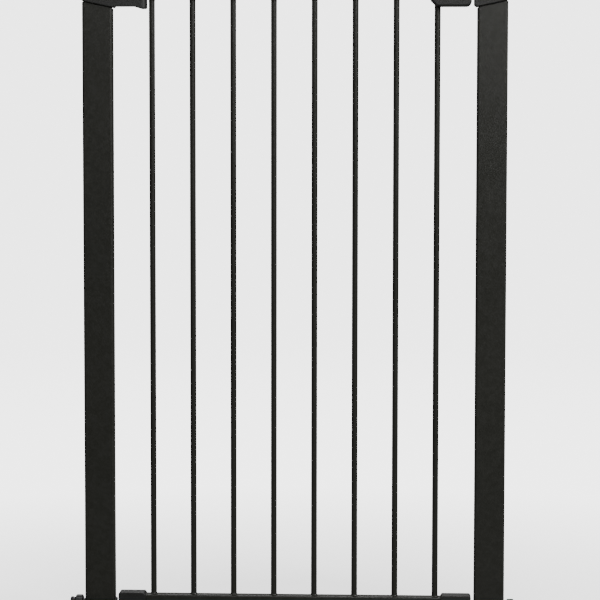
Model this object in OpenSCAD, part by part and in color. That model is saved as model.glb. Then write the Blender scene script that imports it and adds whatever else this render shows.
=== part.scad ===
// Pressure-fit safety gate for a doorway. Two uprights and a threshold rail make
// the frame, which four padded spindles clamp between the walls. A door of round
// bars hangs on keyed pivots at the left: it lifts out of its floor notch and then
// swings both ways. A spring bolt in the handle holds it at the top right.
// Millimetres. +X is the latch side, -Y the front, +Z up, and the origin is on the
// floor in the middle of the gate. It is drawn shut, with the spindles run in.

/* [Gate] */
// Height of the gate above the floor
gate_h = 1054; // [900:1:1300]
// Width over the two uprights, without the spindles
frame_w = 694; // [640:1:840]

/* [Steel tubes] */
// Width of an upright, across the doorway
upright_w = 50; // [48:1:60]
// Depth of an upright, front to back
upright_t = 20; // [20:1:26]
// Outside corner radius of an upright
upright_corner_r = 4; // [2:0.5:5]
// Wall of the uprights, the door's rails and the threshold rail
tube_wall = 1.5; // [1.2:0.1:2]
// Depth of the door's two rails
door_rail_t = 20; // [18:1:22]
// Height of the door's two rails
door_rail_h = 20; // [18:1:22]
// Outside corner radius of the door's rails
door_rail_corner_r = 2.5; // [1:0.5:4]
// Depth of the threshold rail
threshold_t = 30; // [28:1:32]
// Height of the threshold rail's section
threshold_h = 12; // [11:0.5:12]

/* [Bars] */
// Diameter of a bar
bar_d = 10; // [8:0.5:12]
// Wall of a bar, which is a round tube
bar_wall = 1.2; // [0.8:0.1:1.6]
// Clear gap between each outer bar and its upright
end_gap = 59; // [57:0.5:64]

/* [Door] */
// Underside of the door's bottom rail above the floor
door_base_z = 18; // [18:0.5:24]
// From the top of the gate down to the top of the door's top rail
top_rail_drop = 14; // [12:0.5:18]
// From the hinge-side upright to the pivots' axis
hinge_inset = 27; // [26:0.5:28]
// Lift that takes the lug out of its notch
lift_travel = 12; // [11:0.5:13]

/* [Pivots] */
// Diameter of both hinge pins
pin_d = 10; // [8:0.5:11]
// Outside diameter of both pivot sleeves
sleeve_d = 16; // [15:0.5:17]
// Radius of a sleeve's flange
sleeve_flange_r = 10.5; // [10:0.5:11]
// Thickness of a sleeve's flange
sleeve_flange_t = 1.2; // [1:0.1:1.3]
// Width of the keys that make the sleeves turn with the door
key_w = 3; // [2:0.5:4]
// How far a key stands out of its round face
key_proud = 1.2; // [0.8:0.1:1.2]

/* [Top caps] */
// Depth of a top cap, front to back
cap_t = 26; // [24:1:32]
// How far a top cap reaches past its upright's inner face
cap_lip = 5.2; // [4:0.2:6]
// Height of a cap at its outer edge
cap_outer_h = 37.5; // [34:0.5:42]
// How much lower the cap's slanted edge is at its inner side
cap_slant = 11; // [6:0.5:14]
// Open groove between an upright and its cap
cap_groove = 1.4; // [0.6:0.1:2]
// How deep a cap's or foot's plug goes into its upright
plug_depth = 30; // [24:1:40]
// Radius of a cap's upper outer corner
cap_corner_r = 9; // [4:0.5:10]

/* [Hinge arm] */
// How far the hinge arm reaches from the upright
arm_reach = 56; // [54:0.5:56]
// From the top of the gate down to the underside of the arm
arm_drop = 46; // [44:0.5:48]
// Height of the arm
arm_h = 22; // [20:0.5:22]
// How far the arm's tip dips below its underside
arm_dip = 4; // [2:0.5:6]
// Corner radius of the arm's tip, seen from above
arm_tip_r = 8; // [6:0.5:10]

/* [Feet] */
// Height of a foot under its upright
foot_h = 28; // [27:0.5:30]
// Depth of a foot, front to back
foot_t = 40; // [38:1:60]
// How far a foot's block reaches past its upright's inner face
foot_lip = 1.5; // [0:0.5:2]
// Depth of a foot's tongue, which holds the threshold rail
tongue_t = 36; // [35:1:38]
// Moulding under and over the threshold rail in a tongue
sole_t = 1.5; // [1.2:0.1:1.6]
// Moulding of the tongue above the threshold rail
tongue_roof_t = 3; // [2:0.2:3]

/* [Door end caps] */
// Moulding outside the bottom rail
end_cap_wall = 3; // [2.5:0.1:4]
// How far the end caps stand above the bottom rail
end_cap_rise = 3.5; // [3:0.1:5]
// Clear gap between the hinge cap and its upright
hinge_cap_gap = 6; // [5:0.5:7]
// Length of the hinge cap along the rail
hinge_cap_w = 45; // [42:1:48]
// Clear gap between the latch cap and its upright
latch_cap_gap = 4.5; // [4:0.5:6]
// Length of the latch cap along the rail
latch_cap_w = 50; // [44:1:50]
// Length of the lug under the latch cap
lug_w = 14; // [10:1:16]
// Depth of the lug, front to back
lug_t = 12; // [8:1:16]
// How far the lug reaches below the door
lug_drop = 9; // [7:0.5:10]

/* [Handle] */
// Length of the handle along the top rail
handle_w = 66.5; // [64:0.5:68]
// Clear gap between the handle and the keeper cap
handle_gap = 3.8; // [3:0.2:5]
// Depth of the handle, front to back
handle_t = 34; // [32:1:44]
// From the top of the gate down to the handle's underside
handle_drop = 47.5; // [44:0.5:50]
// From the top of the gate down to the top of the handle
handle_top_drop = 8; // [7:0.5:9]
// Wall of the handle's two shells
handle_wall = 3; // [2.4:0.1:3]
// Height and width of the sloped corner at the handle's door end
handle_chamfer = 10; // [6:0.5:11]
// Radius of the handle's other corners
handle_corner_r = 8; // [4:0.5:9]

/* [Lock] */
// Depth of the lock bolt, front to back
bolt_t = 11.6; // [9:0.2:12]
// Height of the lock bolt
bolt_h = 10; // [8:0.5:10]
// How far the bolt stands out of the handle when it is shut
bolt_throw = 12.5; // [12:0.1:12.6]
// Travel of the thumb slide
slide_travel = 12; // [11.5:0.1:12]
// Length of the bolt
bolt_len = 37; // [35:0.5:38]
// Outside diameter of the lock spring
spring_d = 8; // [6:0.5:9]
// Diameter of the spring wire
wire_d = 1; // [0.8:0.1:1.2]
// Turns of the spring
spring_turns = 5; // [4:1:6]

/* [Spindles] */
// Diameter of a spindle
spindle_d = 10; // [8:0.5:11]
// Length of a spindle inside its upright when it is run in
spindle_inside = 43; // [40:1:44]
// Spindle axis above the floor, and below the top of the gate
spindle_inset = 18; // [17.5:0.1:18.5]
// Outside diameter of a spindle bush
bush_d = 16; // [15:0.5:17]
// Radius of a bush's flange
bush_flange_r = 11; // [10:0.5:13]
// Thickness of a bush's flange
bush_flange_t = 4; // [3:0.5:5]
// Radius of a hand wheel over its lobes
wheel_r = 17; // [15:0.5:17]
// Thickness of a hand wheel
wheel_t = 12; // [8:0.5:14]
// Number of finger scallops round a hand wheel
wheel_scallops = 12; // [8:1:16]
// Radius of a pad plate
plate_r = 12.5; // [11:0.5:13]
// Thickness of a pad plate
plate_t = 3; // [2:0.5:4]
// Radius of a rubber wall pad
pad_r = 13.5; // [12:0.5:14]
// Thickness of a rubber wall pad
pad_t = 4.5; // [3:0.5:6]

/* [Hidden] */
$fn = 64;

// Clearances
fixed_gap = 0.05;     // between pieces that are fastened together
plug_gap = 0.15;      // between a plug or tube and what it goes into
running_gap = 0.08;   // on the radius of a pivot
thread_gap = 0.35;    // on the radius of a spindle in its bush and wheel
slide_gap = 0.4;      // round the bolt and the thumb slide's stem
lock_gap = 0.6;       // round the lug in its notch and the bolt in its keeper
lay_gap = 0.1;        // between faces that slide or turn on each other
cut = 1;              // how far a cutting shape runs past the face it cuts

// Frame
half_w = frame_w / 2;
inner_x = half_w - upright_w;
upright_x = half_w - upright_w / 2;
cap_outer_z = gate_h - cap_outer_h;
cap_inner_z = cap_outer_z - cap_slant;
cap_inner_x = inner_x - cap_lip;
cap_chamfer = cap_lip * 0.7;
cap_top_r = 4;
plug_w = upright_w - 2 * tube_wall - 2 * plug_gap;
plug_t = upright_t - 2 * tube_wall - 2 * plug_gap;
plug_r = upright_corner_r - tube_wall;
foot_corner_r = 4;
foot_inner_x = inner_x - foot_lip;

// Threshold
threshold_top = sole_t + threshold_h;
tongue_top = threshold_top + tongue_roof_t;
tongue_end_x = inner_x - arm_reach;
threshold_end_x = inner_x - 11;
threshold_corner_r = 2;
floor_pad_x = frame_w / 6;
floor_pad_size = [26, 24];
floor_pad_corner_r = 4;

// Door
bars = 8;
bar_pitch = (2 * inner_x - 2 * end_gap - bar_d) / (bars - 1);
outer_bar_x = bar_pitch * (bars - 1) / 2;
hinge_x = -inner_x + hinge_inset;
bottom_rail_top = door_base_z + door_rail_h;
top_rail_top = gate_h - top_rail_drop;
top_rail_base = top_rail_top - door_rail_h;
top_rail_end_x = outer_bar_x + bar_d / 2;
socket_wall = 3.5;
bottom_rail_end_x = -hinge_x - sleeve_d / 2 - socket_wall;
end_cap_t = door_rail_t + 2 * end_cap_wall;
end_cap_top = bottom_rail_top + end_cap_rise;
end_cap_corner_r = 4;
lug_x = -hinge_x;

// Pivots
arm_base = gate_h - arm_drop;
arm_top = arm_base + arm_h;
arm_floor = 3;
key_reach = pin_d / 2 + key_proud;
key_gap = 0.15;
sleeve_key_reach = sleeve_d / 2 + key_proud;
lower_sleeve_base = tongue_top + lay_gap;
pin_hold = 7.4;        // pin left in the lower sleeve at full lift
lower_pin_top = lower_sleeve_base + lift_travel + pin_hold;
upper_sleeve_top = arm_top + lay_gap + sleeve_flange_t;
hinge_block_base = upper_sleeve_top + lay_gap;
hinge_block_top = top_rail_top + 8;
hinge_block_t = door_rail_t + 8;
hinge_block_grip = 14;
upper_pin_base = arm_base + arm_floor + 1;
upper_pin_top = hinge_block_top - 2;

// Handle and lock
handle_end_x = cap_inner_x - handle_gap;
handle_x = handle_end_x - handle_w;
handle_base = gate_h - handle_drop;
handle_top = gate_h - handle_top_drop;
pocket_x = top_rail_end_x + 3;
pocket_base = handle_base + 11.5;
bolt_z = top_rail_base + door_rail_h / 2 + 4;
bolt_tip_x = handle_end_x + bolt_throw;
bolt_rear_x = bolt_tip_x - bolt_len;
bolt_bevel = 2.5;
keeper_depth = bolt_tip_x - cap_inner_x + 1;
keeper_base = bolt_z - bolt_h / 2 - 2;
stem_w = 6;
stem_t = 5.6;
stem_x = bolt_rear_x + 5;
thumb_w = 26;
thumb_t = 18;
thumb_plate_t = 2.6;
thumb_ridge_h = 1.2;
thumb_ridge_w = 1.6;
thumb_ridge_pitch = 3.6;
thumb_ridge_margin = 5;
thumb_ridge_inset = 2;
thumb_corner_r = 4;
thumb_ridges = 5;

// Fasteners
screw_d = 4;
screw_head_d = 7.4;
screw_head_t = 2.4;
screw_len = 12;
head_sink = 0.4;       // how far a sunk head lies below its face
end_cap_screw_x = bottom_rail_end_x - 5;
cap_screw_z = cap_inner_z - 20;
foot_screw_z = foot_h + plug_depth / 2;
handle_screw_x = top_rail_end_x - bar_d / 2 - 2;
handle_screw_z = top_rail_base + door_rail_h / 2;
handle_low_screw_x = handle_end_x - 16;
handle_low_screw_z = handle_base + 6;

// Spindles
low_z = spindle_inset;
high_z = gate_h - spindle_inset;
wheel_x = half_w + bush_flange_t + 0.5;
plate_x = wheel_x + wheel_t + 1;
pad_x = plate_x + plate_t;
scallop_r = 2.4;

black = [0.10, 0.10, 0.10];
dark = [0.16, 0.16, 0.16];
rubber = [0.07, 0.07, 0.07];
nylon = [0.85, 0.85, 0.82];
zinc = [0.70, 0.70, 0.72];

// ---- Shared shapes ----

// A rectangle with round corners, centred.
module rounded_rect(w, d, r) {
    square([w - 2 * r, d], center = true);
    square([w, d - 2 * r], center = true);
    for (sx = [-1, 1], sy = [-1, 1])
        translate([sx * (w / 2 - r), sy * (d / 2 - r)]) circle(r);
}

// A tube section: a rounded rectangle with its inside taken out.
module tube_section(w, d, r) {
    difference() {
        rounded_rect(w, d, r);
        rounded_rect(w - 2 * tube_wall, d - 2 * tube_wall, max(r - tube_wall, 0.5));
    }
}

// What to take from a corner to leave a radius r about the local origin.
module corner_nick(r, sx, sz) {
    scale_x = sx > 0 ? 0 : 1;
    scale_z = sz > 0 ? 0 : 1;
    mirror([scale_x, 0]) mirror([0, scale_z]) difference() {
        square(r + cut);
        circle(r);
    }
}

// An XZ outline carried along Y, centred on the door's plane.
module front_plate(depth) {
    rotate([90, 0, 0]) linear_extrude(depth, center = true) children();
}

// A cylinder along +X from x, at height z.
module x_cylinder(x, length, r, z) {
    translate([x, 0, z]) rotate([0, 90, 0]) cylinder(h = length, r = r);
}

// A cylinder along +Y from y, at x and z.
module y_cylinder(y, length, r, x, z) {
    translate([x, y, z]) rotate([-90, 0, 0]) cylinder(h = length, r = r);
}

// Puts what is drawn for the right side on either side.
module on_side(side) {
    mirror([side < 0 ? 1 : 0, 0, 0]) children();
}

// A pan-head screw that enters a rear face at y, driven towards the front.
module rear_screw(x, y, z, length = screw_len) {
    y_cylinder(y - length, length, screw_d / 2, x, z);
    y_cylinder(y, screw_head_t, screw_head_d / 2, x, z);
}

// ---- Frame ----

module upright(side) {
    on_side(side) translate([upright_x, 0, 0]) difference() {
        translate([0, 0, foot_h]) linear_extrude(cap_outer_z - foot_h + cut)
            tube_section(upright_w, upright_t, upright_corner_r);
        front_plate(upright_t + 2 * cut) polygon([
            [upright_w / 2 + cut, cap_outer_z - cap_groove + cap_slant / upright_w * cut],
            [-upright_w / 2 - cut, cap_inner_z - cap_groove - cap_slant / upright_w * cut],
            [-upright_w / 2 - cut, gate_h],
            [upright_w / 2 + cut, gate_h]
        ]);
        for (z = [foot_screw_z, cap_screw_z])
            y_cylinder(0, upright_t, screw_d / 2 + plug_gap, 0, z);
    }
}

module left_upright() {
    color(black) upright(-1);
}

module right_upright() {
    color(black) upright(1);
}

module threshold_rail() {
    color(black) difference() {
        translate([-threshold_end_x, 0, sole_t + threshold_h / 2]) rotate([90, 0, 90])
            linear_extrude(2 * threshold_end_x)
            tube_section(threshold_t, threshold_h, threshold_corner_r);
        lug_notch(sole_t + tube_wall);
        translate([hinge_x, 0, sole_t + tube_wall])
            cylinder(h = threshold_h, r = pin_d / 2 + fixed_gap);
    }
}

module threshold_pads() {
    color(rubber) for (side = [-1, 1])
        translate([side * floor_pad_x, 0, 0]) linear_extrude(sole_t)
            rounded_rect(floor_pad_size[0], floor_pad_size[1], floor_pad_corner_r);
}

// The slot that the lug drops into, from a height z up.
module lug_notch(z) {
    translate([lug_x - lug_w / 2 - lock_gap, -lug_t / 2 - lock_gap, z])
        cube([lug_w + 2 * lock_gap, lug_t + 2 * lock_gap, door_base_z]);
}

// A foot: a block under the upright, a plug into it, and a tongue over the rail.
module foot_blank() {
    difference() {
        union() {
            translate([(half_w + foot_inner_x) / 2, 0, 0]) linear_extrude(foot_h)
                rounded_rect(half_w - foot_inner_x, foot_t, foot_corner_r);
            translate([(foot_inner_x + foot_corner_r + tongue_end_x) / 2, 0, 0])
                linear_extrude(tongue_top)
                rounded_rect(foot_inner_x + foot_corner_r - tongue_end_x, tongue_t, 3);
            translate([upright_x, 0, foot_h - cut]) linear_extrude(plug_depth + cut)
                rounded_rect(plug_w, plug_t, plug_r);
        }
        translate([tongue_end_x - cut, 0, sole_t + threshold_h / 2]) rotate([90, 0, 90])
            linear_extrude(threshold_end_x - tongue_end_x + cut + plug_gap)
            rounded_rect(threshold_t + 2 * fixed_gap, threshold_h, threshold_corner_r);
        bush_bore(low_z);
        plug_screw_hole(foot_screw_z);
    }
}

// The hole for the screw that holds a plug in its upright.
module plug_screw_hole(z) {
    y_cylinder(upright_t / 2 - screw_len - cut, screw_len + cut, screw_d / 2 + fixed_gap,
        upright_x, z);
}

// The bore for a spindle bush, in a foot or a top cap.
module bush_bore(z) {
    x_cylinder(half_w - spindle_inside - 1, spindle_inside + 1 + cut, bush_d / 2 + fixed_gap, z);
}

module left_foot() {
    color(dark) difference() {
        on_side(-1) foot_blank();
        translate([hinge_x, 0, threshold_top - cut])
            cylinder(h = tongue_roof_t + 2 * cut, r = pin_d / 2 + fixed_gap);
    }
}

module right_foot() {
    color(dark) difference() {
        foot_blank();
        lug_notch(sole_t + tube_wall + cut);
    }
}

// A top cap: a block with a slanted lower edge, and a plug into the upright.
module cap_blank() {
    union() {
        front_plate(cap_t) difference() {
            polygon([
                [half_w, cap_outer_z],
                [inner_x - cap_lip + cap_chamfer, cap_inner_z],
                [cap_inner_x, cap_inner_z + cap_chamfer],
                [cap_inner_x, gate_h],
                [half_w, gate_h]
            ]);
            translate([half_w - cap_corner_r, gate_h - cap_corner_r])
                corner_nick(cap_corner_r, 1, 1);
            translate([cap_inner_x + cap_top_r, gate_h - cap_top_r])
                corner_nick(cap_top_r, -1, 1);
        }
        translate([upright_x, 0, cap_inner_z - plug_depth])
            linear_extrude(plug_depth + cap_slant + cut)
            rounded_rect(plug_w, plug_t, plug_r);
    }
}

module cap_bores() {
    bush_bore(high_z);
    plug_screw_hole(cap_screw_z);
}

// The hinge arm's outline from the front, with a smooth dip to its tip.
module arm_outline() {
    dip_w = 15;
    dip_end = arm_reach - arm_tip_r + 2;
    steps = 12;
    polygon([
        [-inner_x - cut, arm_top],
        [-inner_x - cut, arm_base],
        for (i = [0 : steps]) [
            -inner_x + dip_end - dip_w + dip_w * i / steps,
            arm_base - arm_dip * (1 - cos(180 * i / steps)) / 2
        ],
        [-inner_x + arm_reach, arm_base - arm_dip],
        [-inner_x + arm_reach, arm_top]
    ]);
}

module hinge_arm() {
    intersection() {
        front_plate(cap_t) arm_outline();
        translate([-inner_x + arm_reach / 2 - 10, 0, arm_base - arm_dip - cut])
            linear_extrude(arm_h + arm_dip + 2 * cut)
            rounded_rect(arm_reach + 20, cap_t, arm_tip_r);
    }
}

module left_top_cap() {
    color(dark) difference() {
        union() {
            on_side(-1) cap_blank();
            hinge_arm();
        }
        on_side(-1) cap_bores();
        translate([hinge_x, 0, arm_base + arm_floor])
            cylinder(h = arm_h, r = sleeve_d / 2 + running_gap);
    }
}

module right_top_cap() {
    color(dark) difference() {
        cap_blank();
        cap_bores();
        translate([cap_inner_x - cut, -bolt_t / 2 - lock_gap, keeper_base])
            cube([keeper_depth + cut, bolt_t + 2 * lock_gap, gate_h]);
    }
}

module lower_hinge_pin() {
    color(zinc) translate([hinge_x, 0, 0]) {
        translate([0, 0, sole_t + tube_wall])
            cylinder(h = lower_pin_top - sole_t - tube_wall - 1, r = pin_d / 2);
        translate([0, 0, lower_pin_top - 1])
            cylinder(h = 1, r1 = pin_d / 2, r2 = pin_d / 2 - 1);
    }
}

module foot_screws() {
    color(zinc) for (side = [-1, 1])
        rear_screw(side * upright_x, upright_t / 2, foot_screw_z);
}

module cap_screws() {
    color(zinc) for (side = [-1, 1])
        rear_screw(side * upright_x, upright_t / 2, cap_screw_z);
}

module spindle_bush(side, z) {
    on_side(side) difference() {
        union() {
            x_cylinder(half_w - spindle_inside - 0.5, spindle_inside + 0.5, bush_d / 2, z);
            x_cylinder(half_w, bush_flange_t, bush_flange_r, z);
        }
        x_cylinder(0, frame_w, spindle_d / 2 + thread_gap, z);
    }
}

module spindle_bush_upper_left() {
    color(dark) spindle_bush(-1, high_z);
}

module spindle_bush_upper_right() {
    color(dark) spindle_bush(1, high_z);
}

module spindle_bush_lower_left() {
    color(dark) spindle_bush(-1, low_z);
}

module spindle_bush_lower_right() {
    color(dark) spindle_bush(1, low_z);
}

// ---- Pivot sleeves ----

// Two opposite keys, as wide as given, that reach from the axis to a radius.
module keys(reach, width, base, top) {
    translate([-width / 2, -reach, base]) cube([width, 2 * reach, top - base]);
}

module upper_pivot_sleeve() {
    color(nylon) translate([hinge_x, 0, 0]) difference() {
        union() {
            translate([0, 0, arm_base + arm_floor + lay_gap])
                cylinder(h = arm_h - arm_floor + cut / 10, r = sleeve_d / 2);
            translate([0, 0, arm_top + lay_gap])
                cylinder(h = sleeve_flange_t, r = sleeve_flange_r);
        }
        translate([0, 0, arm_base])
            cylinder(h = arm_h + 2 * cut + sleeve_flange_t, r = pin_d / 2 + running_gap);
        keys(key_reach + key_gap, key_w + 2 * key_gap, arm_base, arm_top + 2 * cut + sleeve_flange_t);
    }
}

module lower_pivot_sleeve() {
    color(nylon) translate([hinge_x, 0, 0]) difference() {
        union() {
            translate([0, 0, lower_sleeve_base])
                cylinder(h = lower_pin_top - lower_sleeve_base, r = sleeve_d / 2);
            translate([0, 0, lower_sleeve_base])
                cylinder(h = sleeve_flange_t, r = sleeve_flange_r);
            keys(sleeve_key_reach, key_w, lower_sleeve_base, lower_pin_top);
        }
        translate([0, 0, 0]) cylinder(h = bottom_rail_top, r = pin_d / 2 + running_gap);
    }
}

// ---- Door ----

// A door rail along X between two ends, with its base at z.
module door_rail(x0, x1, z) {
    translate([x0, 0, z + door_rail_h / 2]) rotate([90, 0, 90]) linear_extrude(x1 - x0)
        tube_section(door_rail_t, door_rail_h, door_rail_corner_r);
}

module top_rail() {
    color(black) difference() {
        door_rail(-top_rail_end_x, top_rail_end_x, top_rail_base);
        y_cylinder(-door_rail_t, 2 * door_rail_t, screw_d / 2 + plug_gap,
            handle_screw_x, handle_screw_z);
        translate([-top_rail_end_x + hinge_block_grip / 2, 0, top_rail_top - 2 * tube_wall])
            cylinder(h = 4 * tube_wall, r = screw_d / 2 + plug_gap);
    }
}

module bottom_rail() {
    color(black) difference() {
        door_rail(-bottom_rail_end_x, bottom_rail_end_x, door_base_z);
        for (side = [-1, 1])
            y_cylinder(0, door_rail_t, screw_d / 2 + plug_gap,
                side * end_cap_screw_x, door_base_z + door_rail_h / 2);
    }
}

// One bar, counted from the hinge side.
module bar(number) {
    color(black) translate([-outer_bar_x + (number - 1) * bar_pitch, 0, bottom_rail_top])
        linear_extrude(top_rail_base - bottom_rail_top) difference() {
            circle(d = bar_d);
            circle(d = bar_d - 2 * bar_wall);
        }
}

module upper_hinge_block() {
    color(dark) difference() {
        union() {
            translate([hinge_x, 0, hinge_block_base])
                cylinder(h = hinge_block_top - hinge_block_base, d = hinge_block_t);
            translate([hinge_x, -hinge_block_t / 2, hinge_block_base])
                cube([-top_rail_end_x + hinge_block_grip - hinge_x, hinge_block_t,
                    hinge_block_top - hinge_block_base]);
        }
        translate([-top_rail_end_x - fixed_gap, -door_rail_t / 2 - fixed_gap,
                hinge_block_base - cut])
            cube([2 * hinge_block_grip, door_rail_t + 2 * fixed_gap,
                top_rail_top + fixed_gap - hinge_block_base + cut]);
        translate([hinge_x, 0, hinge_block_base - cut])
            cylinder(h = upper_pin_top - hinge_block_base + cut, r = pin_d / 2 + fixed_gap);
        translate([-top_rail_end_x + hinge_block_grip / 2, 0, top_rail_top - cut]) {
            cylinder(h = hinge_block_top, r = screw_d / 2 + fixed_gap);
            translate([0, 0, hinge_block_top - top_rail_top + cut - screw_head_t - head_sink])
                cylinder(h = hinge_block_top, r = screw_head_d / 2 + fixed_gap);
        }
    }
}

module upper_hinge_pin() {
    color(zinc) translate([hinge_x, 0, 0]) {
        translate([0, 0, upper_pin_base])
            cylinder(h = upper_pin_top - upper_pin_base, r = pin_d / 2);
        keys(key_reach, key_w, upper_pin_base, hinge_block_base);
    }
}

module hinge_block_screw() {
    head_z = hinge_block_top - screw_head_t - head_sink;
    color(zinc) translate([-top_rail_end_x + hinge_block_grip / 2, 0, head_z]) {
        cylinder(h = screw_head_t, d = screw_head_d);
        translate([0, 0, -screw_len]) cylinder(h = screw_len, d = screw_d);
    }
}

// An end cap for the bottom rail, drawn for the right side, from x0 out to x1.
module end_cap(x0, x1) {
    slope = end_cap_rise * 0.7;
    difference() {
        front_plate(end_cap_t) difference() {
            polygon([
                [x0, door_base_z],
                [x1, door_base_z],
                [x1, end_cap_top],
                [x0 + slope, end_cap_top],
                [x0, bottom_rail_top]
            ]);
            translate([x1 - end_cap_corner_r, end_cap_top - end_cap_corner_r])
                corner_nick(end_cap_corner_r, 1, 1);
        }
        translate([x0 - cut, -door_rail_t / 2 - fixed_gap, door_base_z - cut])
            cube([bottom_rail_end_x + fixed_gap - x0 + cut, door_rail_t + 2 * fixed_gap,
                door_rail_h + cut + fixed_gap]);
        y_cylinder(0, end_cap_t, screw_d / 2 + fixed_gap, end_cap_screw_x,
            door_base_z + door_rail_h / 2);
    }
}

module lower_hinge_cap() {
    outer = inner_x - hinge_cap_gap;
    color(dark) difference() {
        on_side(-1) end_cap(outer - hinge_cap_w, outer);
        translate([hinge_x, 0, door_base_z - cut]) {
            cylinder(h = lower_pin_top - door_base_z + cut + 1, r = sleeve_d / 2 + running_gap);
            keys(sleeve_key_reach + key_gap, key_w + 2 * key_gap, 0,
                lower_pin_top - door_base_z + cut + 1);
        }
    }
}

module lower_latch_cap() {
    outer = inner_x - latch_cap_gap;
    color(dark) union() {
        end_cap(outer - latch_cap_w, outer);
        translate([lug_x - lug_w / 2, -lug_t / 2, door_base_z - lug_drop])
            cube([lug_w, lug_t, lug_drop + cut / 2]);
    }
}

module end_cap_screws() {
    color(zinc) for (side = [-1, 1])
        rear_screw(side * end_cap_screw_x, end_cap_t / 2,
            door_base_z + door_rail_h / 2, screw_len / 2);
}

// The handle's outline from the front.
module handle_outline() {
    difference() {
        polygon([
            [handle_x + handle_chamfer, handle_base],
            [handle_end_x, handle_base],
            [handle_end_x, handle_top],
            [handle_x, handle_top],
            [handle_x, handle_base + handle_chamfer]
        ]);
        translate([handle_end_x - handle_corner_r, handle_base + handle_corner_r])
            corner_nick(handle_corner_r, 1, -1);
        translate([handle_end_x - handle_corner_r, handle_top - handle_corner_r])
            corner_nick(handle_corner_r, 1, 1);
        translate([handle_x + handle_corner_r, handle_top - handle_corner_r])
            corner_nick(handle_corner_r, -1, 1);
    }
}

// The room that both shells leave for the rail, the last bar and the lock.
module handle_inside() {
    inner_t = handle_t - 2 * handle_wall;
    translate([pocket_x, -inner_t / 2, pocket_base])
        cube([handle_end_x - handle_wall - pocket_x, inner_t,
            handle_top - handle_wall - pocket_base]);
    translate([0, -door_rail_t / 2 - fixed_gap, top_rail_base - fixed_gap])
        cube([top_rail_end_x + fixed_gap, door_rail_t + 2 * fixed_gap,
            door_rail_h + 2 * fixed_gap]);
    translate([outer_bar_x, 0, handle_base - cut])
        cylinder(h = top_rail_base - handle_base + cut, r = bar_d / 2 + plug_gap);
    translate([handle_end_x - 2 * handle_wall, -bolt_t / 2 - slide_gap,
            bolt_z - bolt_h / 2 - slide_gap])
        cube([4 * handle_wall, bolt_t + 2 * slide_gap, bolt_h + 2 * slide_gap]);
    translate([stem_x - slide_travel - slide_gap, -stem_t / 2 - slide_gap, bolt_z])
        cube([stem_w + slide_travel + 2 * slide_gap, stem_t + 2 * slide_gap, gate_h - bolt_z]);
}

module handle_screw_holes(r) {
    y_cylinder(-handle_t / 2 + handle_wall, handle_t, r, handle_screw_x, handle_screw_z);
    y_cylinder(-handle_t / 2 + handle_wall, handle_t, r, handle_low_screw_x, handle_low_screw_z);
}

// Half of the handle: 1 is the rear shell and -1 the front one.
module handle_shell(half) {
    difference() {
        intersection() {
            front_plate(handle_t) handle_outline();
            translate([handle_x - cut, half > 0 ? 0 : -handle_t, handle_base - cut])
                cube([handle_w + 2 * cut, handle_t, gate_h]);
        }
        handle_inside();
        handle_screw_holes(screw_d / 2 + fixed_gap);
        for (at = [[handle_screw_x, handle_screw_z], [handle_low_screw_x, handle_low_screw_z]])
            y_cylinder(handle_t / 2 - screw_head_t - head_sink, handle_t, screw_head_d / 2 + fixed_gap,
                at[0], at[1]);
    }
}

module handle_front_shell() {
    color(dark) handle_shell(-1);
}

module handle_rear_shell() {
    color(dark) handle_shell(1);
}

module handle_screws() {
    head_y = handle_t / 2 - screw_head_t - head_sink;
    color(zinc) {
        rear_screw(handle_screw_x, head_y, handle_screw_z, head_y + handle_t / 2 - handle_wall - 1);
        rear_screw(handle_low_screw_x, head_y, handle_low_screw_z,
            head_y + handle_t / 2 - handle_wall - 1);
    }
}

// ---- Lock ----

module lock_bolt() {
    color(zinc) difference() {
        linear_bolt();
        translate([stem_x - fixed_gap, -stem_t / 2 - fixed_gap, bolt_z])
            cube([stem_w + 2 * fixed_gap, stem_t + 2 * fixed_gap, bolt_h]);
    }
}

// The bolt's plan, bevelled at the tip, carried up through its height.
module linear_bolt() {
    half = bolt_t / 2;
    translate([0, 0, bolt_z - bolt_h / 2]) linear_extrude(bolt_h) polygon([
        [bolt_rear_x, -half],
        [bolt_tip_x - bolt_bevel, -half],
        [bolt_tip_x, -half + bolt_bevel],
        [bolt_tip_x, half - bolt_bevel],
        [bolt_tip_x - bolt_bevel, half],
        [bolt_rear_x, half]
    ]);
}

module thumb_slide() {
    plate_z = handle_top + slide_gap;
    plate_x0 = stem_x + stem_w / 2 - thumb_w / 2;
    color(dark) {
        translate([stem_x, -stem_t / 2, bolt_z])
            cube([stem_w, stem_t, plate_z - bolt_z + cut]);
        translate([plate_x0 + thumb_w / 2, 0, plate_z]) linear_extrude(thumb_plate_t)
            rounded_rect(thumb_w, thumb_t, thumb_corner_r);
        for (i = [0 : thumb_ridges - 1])
            translate([plate_x0 + thumb_ridge_margin + i * thumb_ridge_pitch,
                    -thumb_t / 2 + thumb_ridge_inset, plate_z + thumb_plate_t - cut])
                cube([thumb_ridge_w, thumb_t - 2 * thumb_ridge_inset, thumb_ridge_h + cut]);
    }
}

module lock_spring() {
    mean_r = (spring_d - wire_d) / 2;
    length = bolt_rear_x - pocket_x - 2 * lay_gap;
    color(zinc) translate([pocket_x + lay_gap, 0, bolt_z]) rotate([0, 90, 0])
        linear_extrude(length, twist = -360 * spring_turns, slices = 14 * spring_turns)
        translate([mean_r, 0]) circle(d = wire_d, $fn = 6);
}

// ---- Spindles, hand wheels and wall pads ----

module spindle(side, z) {
    color(zinc) on_side(side) {
        x_cylinder(half_w - spindle_inside, pad_x - half_w + spindle_inside, spindle_d / 2, z);
    }
}

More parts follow.
